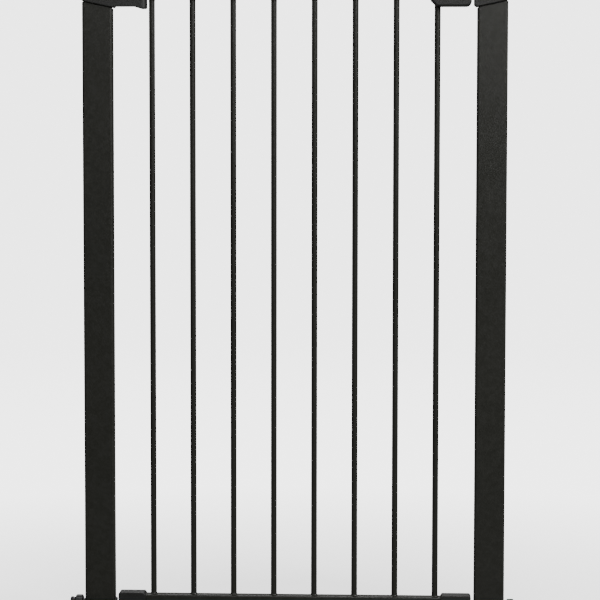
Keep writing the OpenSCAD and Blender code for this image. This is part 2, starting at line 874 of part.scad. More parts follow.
module hand_wheel(side, z) {
    color(dark) on_side(side) difference() {
        x_cylinder(wheel_x, wheel_t, wheel_r, z);
        x_cylinder(0, frame_w, spindle_d / 2 + thread_gap, z);
        for (i = [0 : wheel_scallops - 1])
            translate([0, (wheel_r + scallop_r * 0.4) * cos(360 * i / wheel_scallops),
                    (wheel_r + scallop_r * 0.4) * sin(360 * i / wheel_scallops)])
                x_cylinder(wheel_x - cut, wheel_t + 2 * cut, scallop_r, z);
    }
}

module pad_plate(side, z) {
    color(dark) on_side(side) difference() {
        x_cylinder(plate_x, plate_t, plate_r, z);
        x_cylinder(0, frame_w, spindle_d / 2 + fixed_gap, z);
    }
}

module wall_pad(side, z) {
    color(rubber) on_side(side) x_cylinder(pad_x, pad_t, pad_r, z);
}

// ---- Assembly ----

left_upright();
right_upright();
threshold_rail();
left_foot();
right_foot();
threshold_pads();
left_top_cap();
right_top_cap();
lower_hinge_pin();
foot_screws();
cap_screws();
spindle_bush_upper_left();
spindle_bush_upper_right();
spindle_bush_lower_left();
spindle_bush_lower_right();
upper_pivot_sleeve();
lower_pivot_sleeve();
top_rail();
bottom_rail();
bar(1);  // bar_1
bar(2);  // bar_2
bar(3);  // bar_3
bar(4);  // bar_4
bar(5);  // bar_5
bar(6);  // bar_6
bar(7);  // bar_7
bar(8);  // bar_8
upper_hinge_block();
upper_hinge_pin();
hinge_block_screw();
lower_hinge_cap();
lower_latch_cap();
end_cap_screws();
handle_front_shell();
handle_rear_shell();
handle_screws();
thumb_slide();
lock_bolt();
lock_spring();
spindle(-1, high_z);  // spindle_upper_left
spindle(1, high_z);  // spindle_upper_right
spindle(-1, low_z);  // spindle_lower_left
spindle(1, low_z);  // spindle_lower_right
hand_wheel(-1, high_z);  // hand_wheel_upper_left
hand_wheel(1, high_z);  // hand_wheel_upper_right
hand_wheel(-1, low_z);  // hand_wheel_lower_left
hand_wheel(1, low_z);  // hand_wheel_lower_right
pad_plate(-1, high_z);  // pad_plate_upper_left
pad_plate(1, high_z);  // pad_plate_upper_right
pad_plate(-1, low_z);  // pad_plate_lower_left
pad_plate(1, low_z);  // pad_plate_lower_right
wall_pad(-1, high_z);  // wall_pad_upper_left
wall_pad(1, high_z);  // wall_pad_upper_right
wall_pad(-1, low_z);  // wall_pad_lower_left
wall_pad(1, low_z);  // wall_pad_lower_right
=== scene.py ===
"""Looks of a pressure-fit safety gate: steel tubes, moulded caps, lock, spindles and wall pads.

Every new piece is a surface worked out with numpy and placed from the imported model's own boxes.
Lengths are metres. +X is the latch side, -Y the front and +Z up.
"""

import logging
import math
from dataclasses import dataclass, field
from enum import Enum
from typing import Callable, Iterable, Optional, Sequence

import bpy
import numpy as np
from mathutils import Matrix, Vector
from numpy.typing import NDArray


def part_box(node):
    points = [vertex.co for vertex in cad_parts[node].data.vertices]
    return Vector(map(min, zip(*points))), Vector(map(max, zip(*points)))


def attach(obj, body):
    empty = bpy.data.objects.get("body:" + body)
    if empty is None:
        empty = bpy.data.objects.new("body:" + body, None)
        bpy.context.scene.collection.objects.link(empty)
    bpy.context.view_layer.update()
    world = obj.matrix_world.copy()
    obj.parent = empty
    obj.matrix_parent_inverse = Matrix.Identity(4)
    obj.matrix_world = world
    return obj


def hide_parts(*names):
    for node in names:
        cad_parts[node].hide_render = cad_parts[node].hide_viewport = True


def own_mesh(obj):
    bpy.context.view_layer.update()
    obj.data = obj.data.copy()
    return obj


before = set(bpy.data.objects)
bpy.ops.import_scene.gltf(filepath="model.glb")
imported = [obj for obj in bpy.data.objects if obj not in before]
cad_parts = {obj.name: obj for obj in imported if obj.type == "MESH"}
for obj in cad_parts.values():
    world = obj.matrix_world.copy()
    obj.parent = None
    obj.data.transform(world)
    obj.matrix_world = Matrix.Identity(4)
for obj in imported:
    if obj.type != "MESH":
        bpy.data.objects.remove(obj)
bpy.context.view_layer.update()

Array = NDArray[np.float64]
MM = 0.001
PAST = 9 * MM  # how far a cut or a plug runs past the face it crosses
RIM_SHARE = 0.2  # chamfer of a tube's rim, as a share of its wall
NO_RADIUS = 1e-5  # the least corner radius
SPINDLE_BORE = 5.35 * MM  # radius of the bores that a spindle runs through
PIVOT_X = -270.0 * MM  # the axis that the door swings on
LUG = (14.0 * MM, 12.0 * MM)  # width and depth of the lug under the door
SCREW_GAP = 0.15 * MM  # room round a sunk screw head
TAU = 2.0 * math.pi
CORNERS = ("upper_left", "upper_right", "lower_left", "lower_right")
log = logging.getLogger("gate")


class Axis(Enum):
    """The way that a section is carried: the section's two axes, then the way it is carried."""

    X = (1, 2, 0)
    Y = (0, 2, 1)
    Z = (0, 1, 2)


class Side(Enum):
    """Left is the hinge side and right the latch side."""

    LEFT = -1
    RIGHT = 1


class Slot(Enum):
    """The material slots."""

    STEEL = "black_powder_coat"
    MOULDED = "black_plastic"
    GREY = "grey_plastic"
    RUBBER = "black_rubber"
    ZINC = "zinc_steel"
    NYLON = "nylon"


# ---- Surfaces ------------------------------------------------------------------------------


@dataclass
class Shell:
    """One closed surface: a grid of points, rows along the path and columns round the section.

    Attributes:
        points: rows x columns x 3.
        loop_rows: the last row joins the first, as on a ring.
        capped: both end rows are closed with a flat face.
    """

    points: Array
    loop_rows: bool = False
    capped: bool = True

    def faces(self, offset: int) -> list[list[int]]:
        """Quads of the grid, with its end faces, counted from offset.

        Args:
            offset: number of the first point.

        Returns:
            The faces, as lists of point numbers.
        """
        rows, cols = self.points.shape[:2]
        i = np.arange(rows if self.loop_rows else rows - 1)[:, None]
        j = np.arange(cols)[None, :]
        below, above = i * cols, ((i + 1) % rows) * cols
        right = (j + 1) % cols
        quads = np.stack([below + j, below + right, above + right, above + j], axis=-1)
        found = (quads.reshape(-1, 4) + offset).tolist()
        if self.capped and not self.loop_rows:
            found.append((np.arange(cols)[::-1] + offset).tolist())
            found.append((np.arange(cols) + (rows - 1) * cols + offset).tolist())
        return found

    def turned_outwards(self) -> "Shell":
        """The same surface with its faces pointing out, judged by the sign of its volume.

        The volume is the sum over quads of the diagonals' cross product with a corner.

        Returns:
            This shell, or one with its columns reversed.
        """
        p = self.points
        nxt = np.roll(p, -1, axis=1)
        up = np.roll(p, -1, axis=0) if self.loop_rows else p[1:]
        low, low_next = (p, nxt) if self.loop_rows else (p[:-1], nxt[:-1])
        up_next = np.roll(up, -1, axis=1)
        volume = float(np.sum(np.cross(up_next - low, up - low_next) * (low + up_next + low_next + up)))
        if not self.loop_rows:
            for row, sign in ((p[0], -1.0), (p[-1], 1.0)):
                middle = row.mean(axis=0)
                area = np.cross(row - middle, np.roll(row, -1, axis=0) - middle).sum(axis=0)
                volume += 4.0 * sign * float(np.dot(area, middle))
        return self if volume >= 0 else Shell(p[:, ::-1], self.loop_rows, self.capped)


def fit_together(shells: Iterable[Shell]) -> tuple[Array, list[list[int]]]:
    """Joins shells into one list of points and one of faces.

    Args:
        shells: closed surfaces that make up one piece.

    Returns:
        The points, n x 3, and the faces.
    """
    points: list[Array] = []
    faces: list[list[int]] = []
    count = 0
    for shell in shells:
        outward = shell.turned_outwards()
        faces += outward.faces(count)
        points.append(outward.points.reshape(-1, 3))
        count += len(points[-1])
    return np.concatenate(points), faces


def piece(name: str, *shells: Shell, soft_angle: float = 35.0) -> bpy.types.Object:
    """Makes one mesh object from closed shells, smooth apart from edges sharper than soft_angle.

    Args:
        name: the piece's name.
        *shells: its closed surfaces.
        soft_angle: edges under this many degrees are shaded smooth.

    Returns:
        The object, at the origin, with its place in its mesh.
    """
    points, faces = fit_together(shells)
    mesh = bpy.data.meshes.new(name)
    mesh.from_pydata(points.tolist(), [], faces)
    mesh.validate()
    made = bpy.data.objects.new(name, mesh)
    bpy.context.scene.collection.objects.link(made)
    shade(made, soft_angle)
    return made


def shade(made: bpy.types.Object, soft_angle: float) -> None:
    """Shades a piece smooth up to an angle, with flat faces kept flat by weighted normals.

    Args:
        made: the piece.
        soft_angle: degrees up to which an edge is smooth.
    """
    made.data.polygons.foreach_set("use_smooth", np.ones(len(made.data.polygons), dtype=bool))
    made.data.set_sharp_from_angle(angle=math.radians(soft_angle))
    if "weighted" not in made.modifiers:
        made.modifiers.new("weighted", "WEIGHTED_NORMAL").keep_sharp = True


def combine(made: bpy.types.Object, tools: Sequence[bpy.types.Object], operation: str) -> bpy.types.Object:
    """Cuts tools from a piece, adds them, or keeps what they share, with exact booleans.

    Args:
        made: the piece that stays.
        tools: pieces that are used up.
        operation: DIFFERENCE, UNION or INTERSECT.

    Returns:
        The piece.
    """
    made.modifiers.clear()
    for tool in tools:
        tool.modifiers.clear()
        step = made.modifiers.new("cut", "BOOLEAN")
        step.operation = operation
        step.solver = "EXACT"
        step.object = tool
    bpy.context.view_layer.update()
    evaluated = made.evaluated_get(bpy.context.evaluated_depsgraph_get())
    mesh = bpy.data.meshes.new_from_object(evaluated)
    old = made.data
    made.modifiers.clear()
    made.data = mesh
    bpy.data.meshes.remove(old)
    mesh.name = made.name
    for tool in tools:
        spent = tool.data
        bpy.data.objects.remove(tool)
        bpy.data.meshes.remove(spent)
    shade(made, 35.0)
    return made


def carve(made: bpy.types.Object, *tools: bpy.types.Object) -> bpy.types.Object:
    """Cuts tools out of a piece."""
    return combine(made, tools, "DIFFERENCE")


def weld(made: bpy.types.Object, *tools: bpy.types.Object) -> bpy.types.Object:
    """Adds tools to a piece as one skin."""
    return combine(made, tools, "UNION")


@dataclass(frozen=True)
class Outline:
    """A closed line on a plane, anticlockwise, with the outward normal at each point."""

    points: Array
    normals: Array

    def inset(self, depth: float) -> Array:
        """The line moved inwards by depth: each point less its normal times the depth."""
        return self.points - self.normals * depth


def filleted(corners: Sequence[tuple[float, float, float]], steps: int = 8) -> Outline:
    """A polygon with round corners.

    At each corner the arc's centre lies at r / sin(half angle) along the bisector, and the arc
    runs between the feet of the perpendiculars on the two sides.

    Args:
        corners: x, y and radius of each corner, anticlockwise.
        steps: segments of each arc.

    Returns:
        The outline.
    """
    at = np.array([c[:2] for c in corners])
    radii = np.maximum(np.array([c[2] for c in corners]), NO_RADIUS)
    to_last = np.roll(at, 1, axis=0) - at
    to_next = np.roll(at, -1, axis=0) - at
    to_last /= np.linalg.norm(to_last, axis=1, keepdims=True)
    to_next /= np.linalg.norm(to_next, axis=1, keepdims=True)
    turn = to_next[:, 0] * to_last[:, 1] - to_next[:, 1] * to_last[:, 0]
    bulge = np.where(turn >= 0, 1.0, -1.0)[:, None]
    bisector = to_last + to_next
    bisector /= np.linalg.norm(bisector, axis=1, keepdims=True)
    half = np.arccos(np.clip(np.sum(bisector * to_next, axis=1), -1, 1))
    centre = at + bisector * (radii / np.sin(half))[:, None]
    out_first = np.stack([to_last[:, 1], -to_last[:, 0]], axis=1) * -1.0
    out_last = np.stack([to_next[:, 1], -to_next[:, 0]], axis=1)
    first = np.arctan2(*(out_first * bulge).T[::-1])
    last = np.arctan2(*(out_last * bulge).T[::-1])
    sweep = (last - first + math.pi) % TAU - math.pi
    t = np.linspace(0.0, 1.0, steps + 1)
    angle = first[:, None] + sweep[:, None] * t[None, :]
    ray = np.stack([np.cos(angle), np.sin(angle)], axis=-1)
    points = centre[:, None, :] + ray * radii[:, None, None]
    normals = ray * bulge[:, None, :]
    return Outline(points.reshape(-1, 2), normals.reshape(-1, 2))


def rounded_box(x0: float, x1: float, y0: float, y1: float, r: float, steps: int = 8) -> Outline:
    """A rectangle with four equal round corners."""
    return filleted([(x0, y0, r), (x1, y0, r), (x1, y1, r), (x0, y1, r)], steps)


def circle(x: float, y: float, r: float, steps: int = 48) -> Outline:
    """A full circle: the point at an angle is the centre and the radius times its ray.

    Args:
        x: centre, the first way.
        y: centre, the second way.
        r: radius.
        steps: points in a turn.

    Returns:
        The outline.
    """
    angle = np.arange(steps) / steps * TAU
    ray = np.stack([np.cos(angle), np.sin(angle)], axis=1)
    return Outline(np.array([x, y]) + ray * r, ray)


def place(section: Array, along: Array | float, axis: Axis) -> Array:
    """Puts section points at a height along an axis.

    Args:
        section: points, ... x 2.
        along: the height, or one for each point.
        axis: the way the section is carried.

    Returns:
        The points, ... x 3.
    """
    out = np.empty(section.shape[:-1] + (3,))
    first, second, third = axis.value
    out[..., first] = section[..., 0]
    out[..., second] = section[..., 1]
    out[..., third] = along
    return out


def prism(outline: Outline, low: float, high: float, axis: Axis, r_low: float = 0.0,
          r_high: float = 0.0, steps: int = 5) -> Shell:
    """An outline carried along an axis, its two end edges rounded by quarter circles.

    At an end of radius r the section is inset by r (1 - sin a) and stands r (1 - cos a) from the
    end face, with a from 0 to a quarter turn.

    Args:
        outline: the section.
        low: where it starts.
        high: where it ends.
        axis: the way it is carried.
        r_low: edge radius at the start.
        r_high: edge radius at the end.
        steps: segments of each edge.

    Returns:
        A closed shell.
    """
    a = np.linspace(0.0, math.pi / 2, steps + 1)
    rows: list[tuple[float, float]] = []
    rows += [(low + r_low * (1 - math.cos(t)), r_low * (1 - math.sin(t))) for t in (a if r_low else a[:1])]
    rows += [(high - r_high * (1 - math.cos(t)), r_high * (1 - math.sin(t)))
             for t in (a[::-1] if r_high else a[:1])]
    points = np.stack([place(outline.inset(inset), height, axis) for height, inset in rows])
    return Shell(points)


def tube(outline: Outline, wall: float, ends: tuple[Callable[[Array], Array], Callable[[Array], Array]],
         axis: Axis) -> Shell:
    """A hollow tube between two ends, which may be slanted.

    The section goes up the outside, over a rim rounded by a small chamfer, and down the inside,
    so the surface closes on itself both ways.

    Args:
        outline: the outer section.
        wall: thickness of the wall.
        ends: two functions that give the low and the high end for the section's points.
        axis: the way the tube runs.

    Returns:
        A closed shell.
    """
    low, high = ends
    rim = wall * RIM_SHARE
    rows = []
    for inset, end, sign in ((rim, low, 0), (0.0, low, 1), (0.0, high, -1), (rim, high, 0),
                             (wall - rim, high, 0), (wall, high, -1), (wall, low, 1), (wall - rim, low, 0)):
        section = outline.inset(inset)
        rows.append(place(section, end(section) + sign * rim, axis))
    return Shell(np.stack(rows), loop_rows=True)


def lathe(profile: Sequence[tuple[float, float]], centre: tuple[float, float], axis: Axis,
          closed: bool = False, steps: int = 64,
          radius: Optional[Callable[[Array, Array], Array]] = None) -> Shell:
    """A profile of (radius, height) turned about an axis.

    Args:
        profile: radius and height of each row.
        centre: the axis's place on the section plane.
        axis: the way the axis runs.
        closed: the profile is a ring round a hole.
        steps: columns in a turn.
        radius: changes a row's radius, from the radii and the angles.

    Returns:
        A closed shell.
    """
    rows = np.array(profile, dtype=float)
    angle = (np.arange(steps) / steps * TAU)[None, :]
    r = np.broadcast_to(rows[:, :1], (len(rows), steps))
    if radius is not None:
        r = radius(r, angle)
    section = np.stack([centre[0] + r * np.cos(angle), centre[1] + r * np.sin(angle)], axis=-1)
    points = place(section, rows[:, 1:], axis)
    return Shell(points, loop_rows=closed)


# ---- Finishes ------------------------------------------------------------------------------


class Wiring:
    """Adds and joins nodes in one tree."""

    def __init__(self, tree: bpy.types.NodeTree) -> None:
        """Starts on a tree, keeping its nodes."""
        self.tree = tree

    def node(self, kind: str, **settings: object) -> bpy.types.Node:
        """Adds a node and sets its own properties.

        Args:
            kind: the node's type.
            **settings: its own properties.

        Returns:
            The node.
        """
        made = self.tree.nodes.new(kind)
        for key, value in settings.items():
            setattr(made, key, value)
        return made

    def join(self, source: object, target: object) -> None:
        """Links an output to an input, or sets the input to a plain value.

        Args:
            source: an output or a value.
            target: the input.
        """
        if isinstance(source, bpy.types.NodeSocket):
            self.tree.links.new(source, target)
        else:
            target.default_value = source

    def math(self, operation: str, *values: object) -> bpy.types.NodeSocket:
        """A Math node on values or sockets.

        Args:
            operation: what it does.
            *values: its inputs in order.

        Returns:
            Its output.
        """
        made = self.node("ShaderNodeMath", operation=operation)
        for value, socket in zip(values, made.inputs):
            self.join(value, socket)
        return made.outputs[0]

    def noise(self, vector: object, scale: object, detail: float = 3.0,
              roughness: float = 0.5) -> bpy.types.NodeSocket:
        """A 3-D noise value about 0.5.

        Args:
            vector: where it is read.
            scale: cells in a metre.
            detail: octaves.
            roughness: share kept by each octave.

        Returns:
            Its output.
        """
        made = self.node("ShaderNodeTexNoise", noise_dimensions="3D")
        given = {"Vector": vector, "Scale": scale, "Detail": detail, "Roughness": roughness}
        for key, value in given.items():
            self.join(value, made.inputs[key])
        return made.outputs[0]

    def remap(self, value: object, low: object, high: object, to_low: object = 0.0,
              to_high: object = 1.0) -> bpy.types.NodeSocket:
        """A clamped Map Range.

        Args:
            value: what is mapped.
            low: lower end of the value.
            high: upper end of the value.
            to_low: result at the lower end.
            to_high: result at the upper end.

        Returns:
            Its output.
        """
        made = self.node("ShaderNodeMapRange", clamp=True)
        for source, socket in zip((value, low, high, to_low, to_high), made.inputs):
            self.join(source, socket)
        return made.outputs[0]

    def mix(self, amount: object, first: object, second: object) -> bpy.types.NodeSocket:
        """A colour mix.

        Args:
            amount: share of the second.
            first: the first colour.
            second: the second colour.

        Returns:
            Its output.
        """
        made = self.node("ShaderNodeMix", data_type="RGBA")
        for index, value in ((0, amount), (6, first), (7, second)):
            self.join(value, made.inputs[index])
        return made.outputs[2]

    def group(self, tree: bpy.types.NodeTree, **values: object) -> bpy.types.Node:
        """Places a node group and feeds its inputs by name, with _ for a space.

        Args:
            tree: the group.
            **values: its inputs.

        Returns:
            The node.
        """
        made = self.node("ShaderNodeGroup")
        made.node_tree = tree
        for key, value in values.items():
            self.join(value, made.inputs[key.replace("_", " ")])
        return made


def new_group(name: str, inputs: dict[str, tuple[str, object]], outputs: dict[str, str]) -> tuple[
        bpy.types.NodeTree, Wiring, bpy.types.NodeOutputs, bpy.types.NodeInputs]:
    """An empty shader group with named sockets.

    Args:
        name: the group's name.
        inputs: socket type and default of each input.
        outputs: socket type of each output.

    Returns:
        The tree, its wiring, the sockets it is given and the sockets it gives out.
    """
    tree = bpy.data.node_groups.new(name, "ShaderNodeTree")
    for key, (kind, default) in inputs.items():
        socket = tree.interface.new_socket(name=key, in_out="INPUT", socket_type=kind)
        if default is not None:
            socket.default_value = default
    for key, kind in outputs.items():
        tree.interface.new_socket(name=key, in_out="OUTPUT", socket_type=kind)
    wiring = Wiring(tree)
    given, out = wiring.node("NodeGroupInput"), wiring.node("NodeGroupOutput")
    return tree, wiring, given.outputs, out.inputs


FLOAT, COLOR, VECTOR = "NodeSocketFloat", "NodeSocketColor", "NodeSocketVector"


def drift_group() -> bpy.types.NodeTree:
    """Slow and fast noise that shifts a colour between two tones and a roughness about its mean.

    Returns:
        The group.
    """
    tree, w, given, out = new_group(
        "tone_drift",
        {"Vector": (VECTOR, None), "Scale": (FLOAT, 6.0), "Tone A": (COLOR, None), "Tone B": (COLOR, None),
         "Roughness": (FLOAT, 0.4), "Spread": (FLOAT, 0.05)},
        {"Color": COLOR, "Roughness": FLOAT})
    slow = w.noise(given["Vector"], given["Scale"], 4.0, 0.55)
    fast = w.noise(given["Vector"], w.math("MULTIPLY", given["Scale"], 23.0), 2.0, 0.6)
    both = w.math("ADD", w.math("MULTIPLY", slow, 0.7), w.math("MULTIPLY", fast, 0.3))
    share = w.remap(both, 0.35, 0.65)
    w.join(w.mix(share, given["Tone A"], given["Tone B"]), out["Color"])
    swing = w.math("MULTIPLY", w.math("SUBTRACT", both, 0.5),
                   w.math("MULTIPLY", given["Spread"], 4.0))
    w.join(w.math("ADD", given["Roughness"], swing), out["Roughness"])
    return tree


def grain_group() -> bpy.types.NodeTree:
    """Fine skin of a coating or moulding: noise and cells, as a height from 0 to 1.

    Returns:
        The group.
    """
    tree, w, given, out = new_group(
        "fine_grain", {"Vector": (VECTOR, None), "Scale": (FLOAT, 900.0), "Cells": (FLOAT, 0.3)},
        {"Height": FLOAT})
    fine = w.noise(given["Vector"], given["Scale"], 2.0, 0.6)
    cells = w.node("ShaderNodeTexVoronoi", feature="SMOOTH_F1")
    w.join(given["Vector"], cells.inputs["Vector"])
    w.join(w.math("MULTIPLY", given["Scale"], 0.6), cells.inputs["Scale"])
    rest = w.math("SUBTRACT", 1.0, given["Cells"])
    height = w.math("ADD", w.math("MULTIPLY", fine, rest),
                    w.math("MULTIPLY", cells.outputs["Distance"], given["Cells"]))
    w.join(height, out["Height"])
    return tree


def wear_group() -> bpy.types.NodeTree:
    """Rubbed edges: pointiness above a threshold, broken up by noise.

    Returns:
        The group.
    """
    tree, w, given, out = new_group(
        "edge_wear",
        {"Vector": (VECTOR, None), "Pointiness": (FLOAT, 0.5), "Amount": (FLOAT, 0.3),
         "Scale": (FLOAT, 120.0)},
        {"Mask": FLOAT})
    edge = w.remap(given["Pointiness"], 0.51, 0.60)
    broken = w.remap(w.noise(given["Vector"], given["Scale"], 5.0, 0.65), 0.42, 0.62)
    w.join(w.math("MULTIPLY", w.math("MULTIPLY", edge, broken), given["Amount"]), out["Mask"])
    return tree


def scuff_group() -> bpy.types.NodeTree:
    """Hairline rubs: noise drawn out along one way, kept to its crests.

    Returns:
        The group.
    """
    tree, w, given, out = new_group(
        "hairlines",
        {"Vector": (VECTOR, None), "Stretch": (VECTOR, (900.0, 900.0, 30.0)), "Amount": (FLOAT, 0.3)},
        {"Mask": FLOAT})
    scaled = w.node("ShaderNodeVectorMath", operation="MULTIPLY")
    w.join(given["Vector"], scaled.inputs[0])
    w.join(given["Stretch"], scaled.inputs[1])
    lines = w.remap(w.noise(scaled.outputs[0], 1.0, 3.0, 0.6), 0.58, 0.74)
    patches = w.remap(w.noise(given["Vector"], 9.0, 3.0, 0.5), 0.45, 0.62)
    w.join(w.math("MULTIPLY", w.math("MULTIPLY", lines, patches), given["Amount"]), out["Mask"])
    return tree


class Effects:
    """The shared groups, built once."""

    drift: bpy.types.NodeTree
    grain: bpy.types.NodeTree
    wear: bpy.types.NodeTree
    scuff: bpy.types.NodeTree

    @classmethod
    def build(cls) -> None:
        """Builds the four groups."""
        cls.drift = drift_group()
        cls.grain = grain_group()
        cls.wear = wear_group()
        cls.scuff = scuff_group()


@dataclass(frozen=True)
class Finish:
    """A finish: two tones, a rubbed tone, gloss, grain and how much it has been handled.

    Attributes:
        name: the material's name.
        tone_a, tone_b: darker and lighter colour.
        worn: colour where it is rubbed.
        roughness, spread: mean roughness and how far it drifts.
        grain_scale, grain_height, cells: grains in a metre, bump in metres, share of cells.
        metallic, specular, coat, coat_roughness, sheen: the shader's own sockets.
        wear, scuff: edge wear and hairlines.
        stretch: noise cells in a metre each way, for the hairlines.
    """

    name: str
    tone_a: tuple[float, float, float]
    tone_b: tuple[float, float, float]
    worn: tuple[float, float, float]
    roughness: float = 0.4
    spread: float = 0.05
    grain_scale: float = 900.0
    grain_height: float = 0.00002
    cells: float = 0.3
    metallic: float = 0.0
    specular: float = 0.5
    coat: float = 0.0
    coat_roughness: float = 0.1
    wear: float = 0.2
    scuff: float = 0.1
    stretch: tuple[float, float, float] = (900.0, 900.0, 30.0)
    sheen: float = 0.0

    def build(self) -> bpy.types.Material:
        """Builds the material on Object coordinates.

        Returns:
            The material.
        """
        made = bpy.data.materials.new(self.name)
        made.use_nodes = True
        made.node_tree.nodes.clear()
        w = Wiring(made.node_tree)
        out = w.node("ShaderNodeOutputMaterial")
        shader = w.node("ShaderNodeBsdfPrincipled")
        place_at = w.node("ShaderNodeTexCoord").outputs["Object"]
        geometry = w.node("ShaderNodeNewGeometry")
        drift = w.group(Effects.drift, Vector=place_at, Scale=6.0, Tone_A=(*self.tone_a, 1.0),
                        Tone_B=(*self.tone_b, 1.0), Roughness=self.roughness, Spread=self.spread)
        wear = w.group(Effects.wear, Vector=place_at, Pointiness=geometry.outputs["Pointiness"],
                       Amount=self.wear, Scale=140.0)
        scuff = w.group(Effects.scuff, Vector=place_at, Stretch=self.stretch, Amount=self.scuff)
        rubbed = w.math("MAXIMUM", wear.outputs["Mask"], scuff.outputs["Mask"])
        w.join(w.mix(rubbed, drift.outputs["Color"], (*self.worn, 1.0)), shader.inputs["Base Color"])
        w.join(w.math("ADD", drift.outputs["Roughness"], w.math("MULTIPLY", rubbed, 0.12)),
               shader.inputs["Roughness"])
        grain = w.group(Effects.grain, Vector=place_at, Scale=self.grain_scale, Cells=self.cells)
        height = w.math("SUBTRACT", grain.outputs["Height"], w.math("MULTIPLY", scuff.outputs["Mask"], 0.4))
        bump = w.node("ShaderNodeBump")
        bump.inputs["Strength"].default_value = 1.0
        bump.inputs["Distance"].default_value = self.grain_height
        w.join(height, bump.inputs["Height"])
        w.join(bump.outputs[0], shader.inputs["Normal"])
        plain = {"Metallic": self.metallic, "Specular IOR Level": self.specular, "Coat Weight": self.coat,
                 "Coat Roughness": self.coat_roughness, "Sheen Weight": self.sheen}
        for key, value in plain.items():
            shader.inputs[key].default_value = value
        w.join(shader.outputs[0], out.inputs["Surface"])
        return made


class Dresser:
    """Gives pieces and carried-over nodes their finish, slot and body."""

    def __init__(self, finishes: dict[Slot, Finish]) -> None:
        """Builds each finish once."""
        self.materials = {slot: finish.build() for slot, finish in finishes.items()}

    def paint(self, made: bpy.types.Object, slot: Slot) -> None:
        """Gives an object one material, whatever slots it had.

        Args:
            made: the object.
            slot: the finish.
        """
        material = self.materials[slot]
        if not made.data.materials:
            made.data.materials.append(material)
        for i in range(len(made.data.materials)):
            made.data.materials[i] = material

    def finish(self, made: bpy.types.Object, slot: Slot, body: str, *nodes: str) -> bpy.types.Object:
        """Paints a new piece, rides it on a body and lets it stand for CAD nodes.

        Args:
            made: the piece.
            slot: its finish.
            body: the body it rides.
            *nodes: the nodes it stands for.

        Returns:
            The piece.
        """
        self.paint(made, slot)
        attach(made, body)
        if nodes:
            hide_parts(*nodes)
        log.info("%s: %d faces on %s for %s", made.name, len(made.data.polygons), body,
                 ", ".join(nodes) or "-")
        return made

    def keep(self, node: str, slot: Slot) -> None:
        """Keeps a CAD node's own shape and gives it a finish."""
        self.paint(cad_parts[node], slot)
        log.info("%s: kept", node)


# ---- Shapes that several assemblies use ------------------------------------------------------


@dataclass(frozen=True)
class Box:
    """A CAD node's box at rest."""

    x0: float
    y0: float
    z0: float
    x1: float
    y1: float
    z1: float

    @classmethod
    def of(cls, node: str) -> "Box":
        """The box of one node."""
        low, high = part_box(node)
        return cls(*low, *high)


def on_side(corners: Sequence[tuple[float, float, float]], side: Side) -> list[tuple[float, float, float]]:
    """Corners drawn for the right side, put on either side and kept anticlockwise.

    Args:
        corners: x, z and radius of each corner.
        side: where they go.

    Returns:
        The corners.
    """
    if side is Side.RIGHT:
        return list(corners)
    return [(-x, z, r) for x, z, r in reversed(corners)]


def half_turned(shell: Shell) -> Shell:
    """A shell turned half round about Z, which keeps a thread's hand."""
    return Shell(shell.points * np.array([-1.0, -1.0, 1.0]), shell.loop_rows, shell.capped)


def level(value: float) -> Callable[[Array], Array]:
    """A square tube end at one height."""
    return lambda section: np.full(section.shape[:-1], value)


@dataclass(frozen=True)
class PanScrew:
    """A pan-head screw with a cross recess.

    The head's top is a dome, h = t (1 - (r / R)^4 k), less the recess, which is deep where a
    point is near either arm of the cross and fades to nothing past the arm's length.
    """

    shank: float = 2.0 * MM
    head: float = 3.7 * MM
    thickness: float = 2.4 * MM
    arm: float = 2.1 * MM
    slot: float = 0.45 * MM
    recess: float = 1.3 * MM
    middle: float = 0.12 * MM
    steps: int = 64
    dome_rows: int = 26

    def shell(self, at: tuple[float, float, float], axis: Axis, length: float) -> Shell:
        """One screw with its head's seat at a point.

        Args:
            at: the seat's place, in X, Y and Z.
            axis: the way the head looks.
            length: length of the shank under the head.

        Returns:
            A closed shell.
        """
        angle = np.arange(self.steps) / self.steps * TAU
        body = [(self.shank * 0.7, -length), (self.shank, -length + 0.5 * MM), (self.shank, 0.0),
                (self.head - 0.15 * MM, 0.0), (self.head, 0.15 * MM), (self.head, self.thickness * 0.45)]
        crown = np.linspace(self.head * 0.985, self.middle, self.dome_rows)
        rho = np.concatenate([[row[0] for row in body], crown])
        share = np.clip(rho / self.head, 0, 1)
        dome = np.sqrt(np.clip(1 - share[len(body):] ** 4, 0, 1))
        height = np.concatenate([[row[1] for row in body], self.thickness * (0.5 + 0.5 * dome)])
        u = np.abs(rho[:, None] * np.cos(angle))
        v = np.abs(rho[:, None] * np.sin(angle))
        near = np.clip((self.slot * 1.5 - np.minimum(u, v)) / (self.slot * 0.6), 0, 1)
        reach = np.clip((self.arm - np.maximum(u, v)) / (self.arm * 0.5), 0, 1)
        on_top = (np.arange(len(rho)) >= len(body))[:, None]
        heights = height[:, None] - self.recess * near * reach * on_top
        first, second, third = axis.value
        points = np.empty(u.shape + (3,))
        points[..., first] = at[first] + rho[:, None] * np.cos(angle)
        points[..., second] = at[second] + rho[:, None] * np.sin(angle)
        points[..., third] = at[third] + heights
        return Shell(points)

    def rear_pair(self, node: str, length: float) -> bpy.types.Object:
        """The two screws of a node, one on each side, with their heads to the rear.

        Args:
            node: the two screws.
            length: length of each shank.

        Returns:
            The piece.
        """
        b = Box.of(node)
        x, z, seat = b.x1 - self.head, (b.z0 + b.z1) / 2, b.y1 - self.thickness
        return piece(node + "_pair", *(self.shell((s * x, seat, z), Axis.Y, length) for s in (-1, 1)))


# ---- Frame -------------------------------------------------------------------------------------


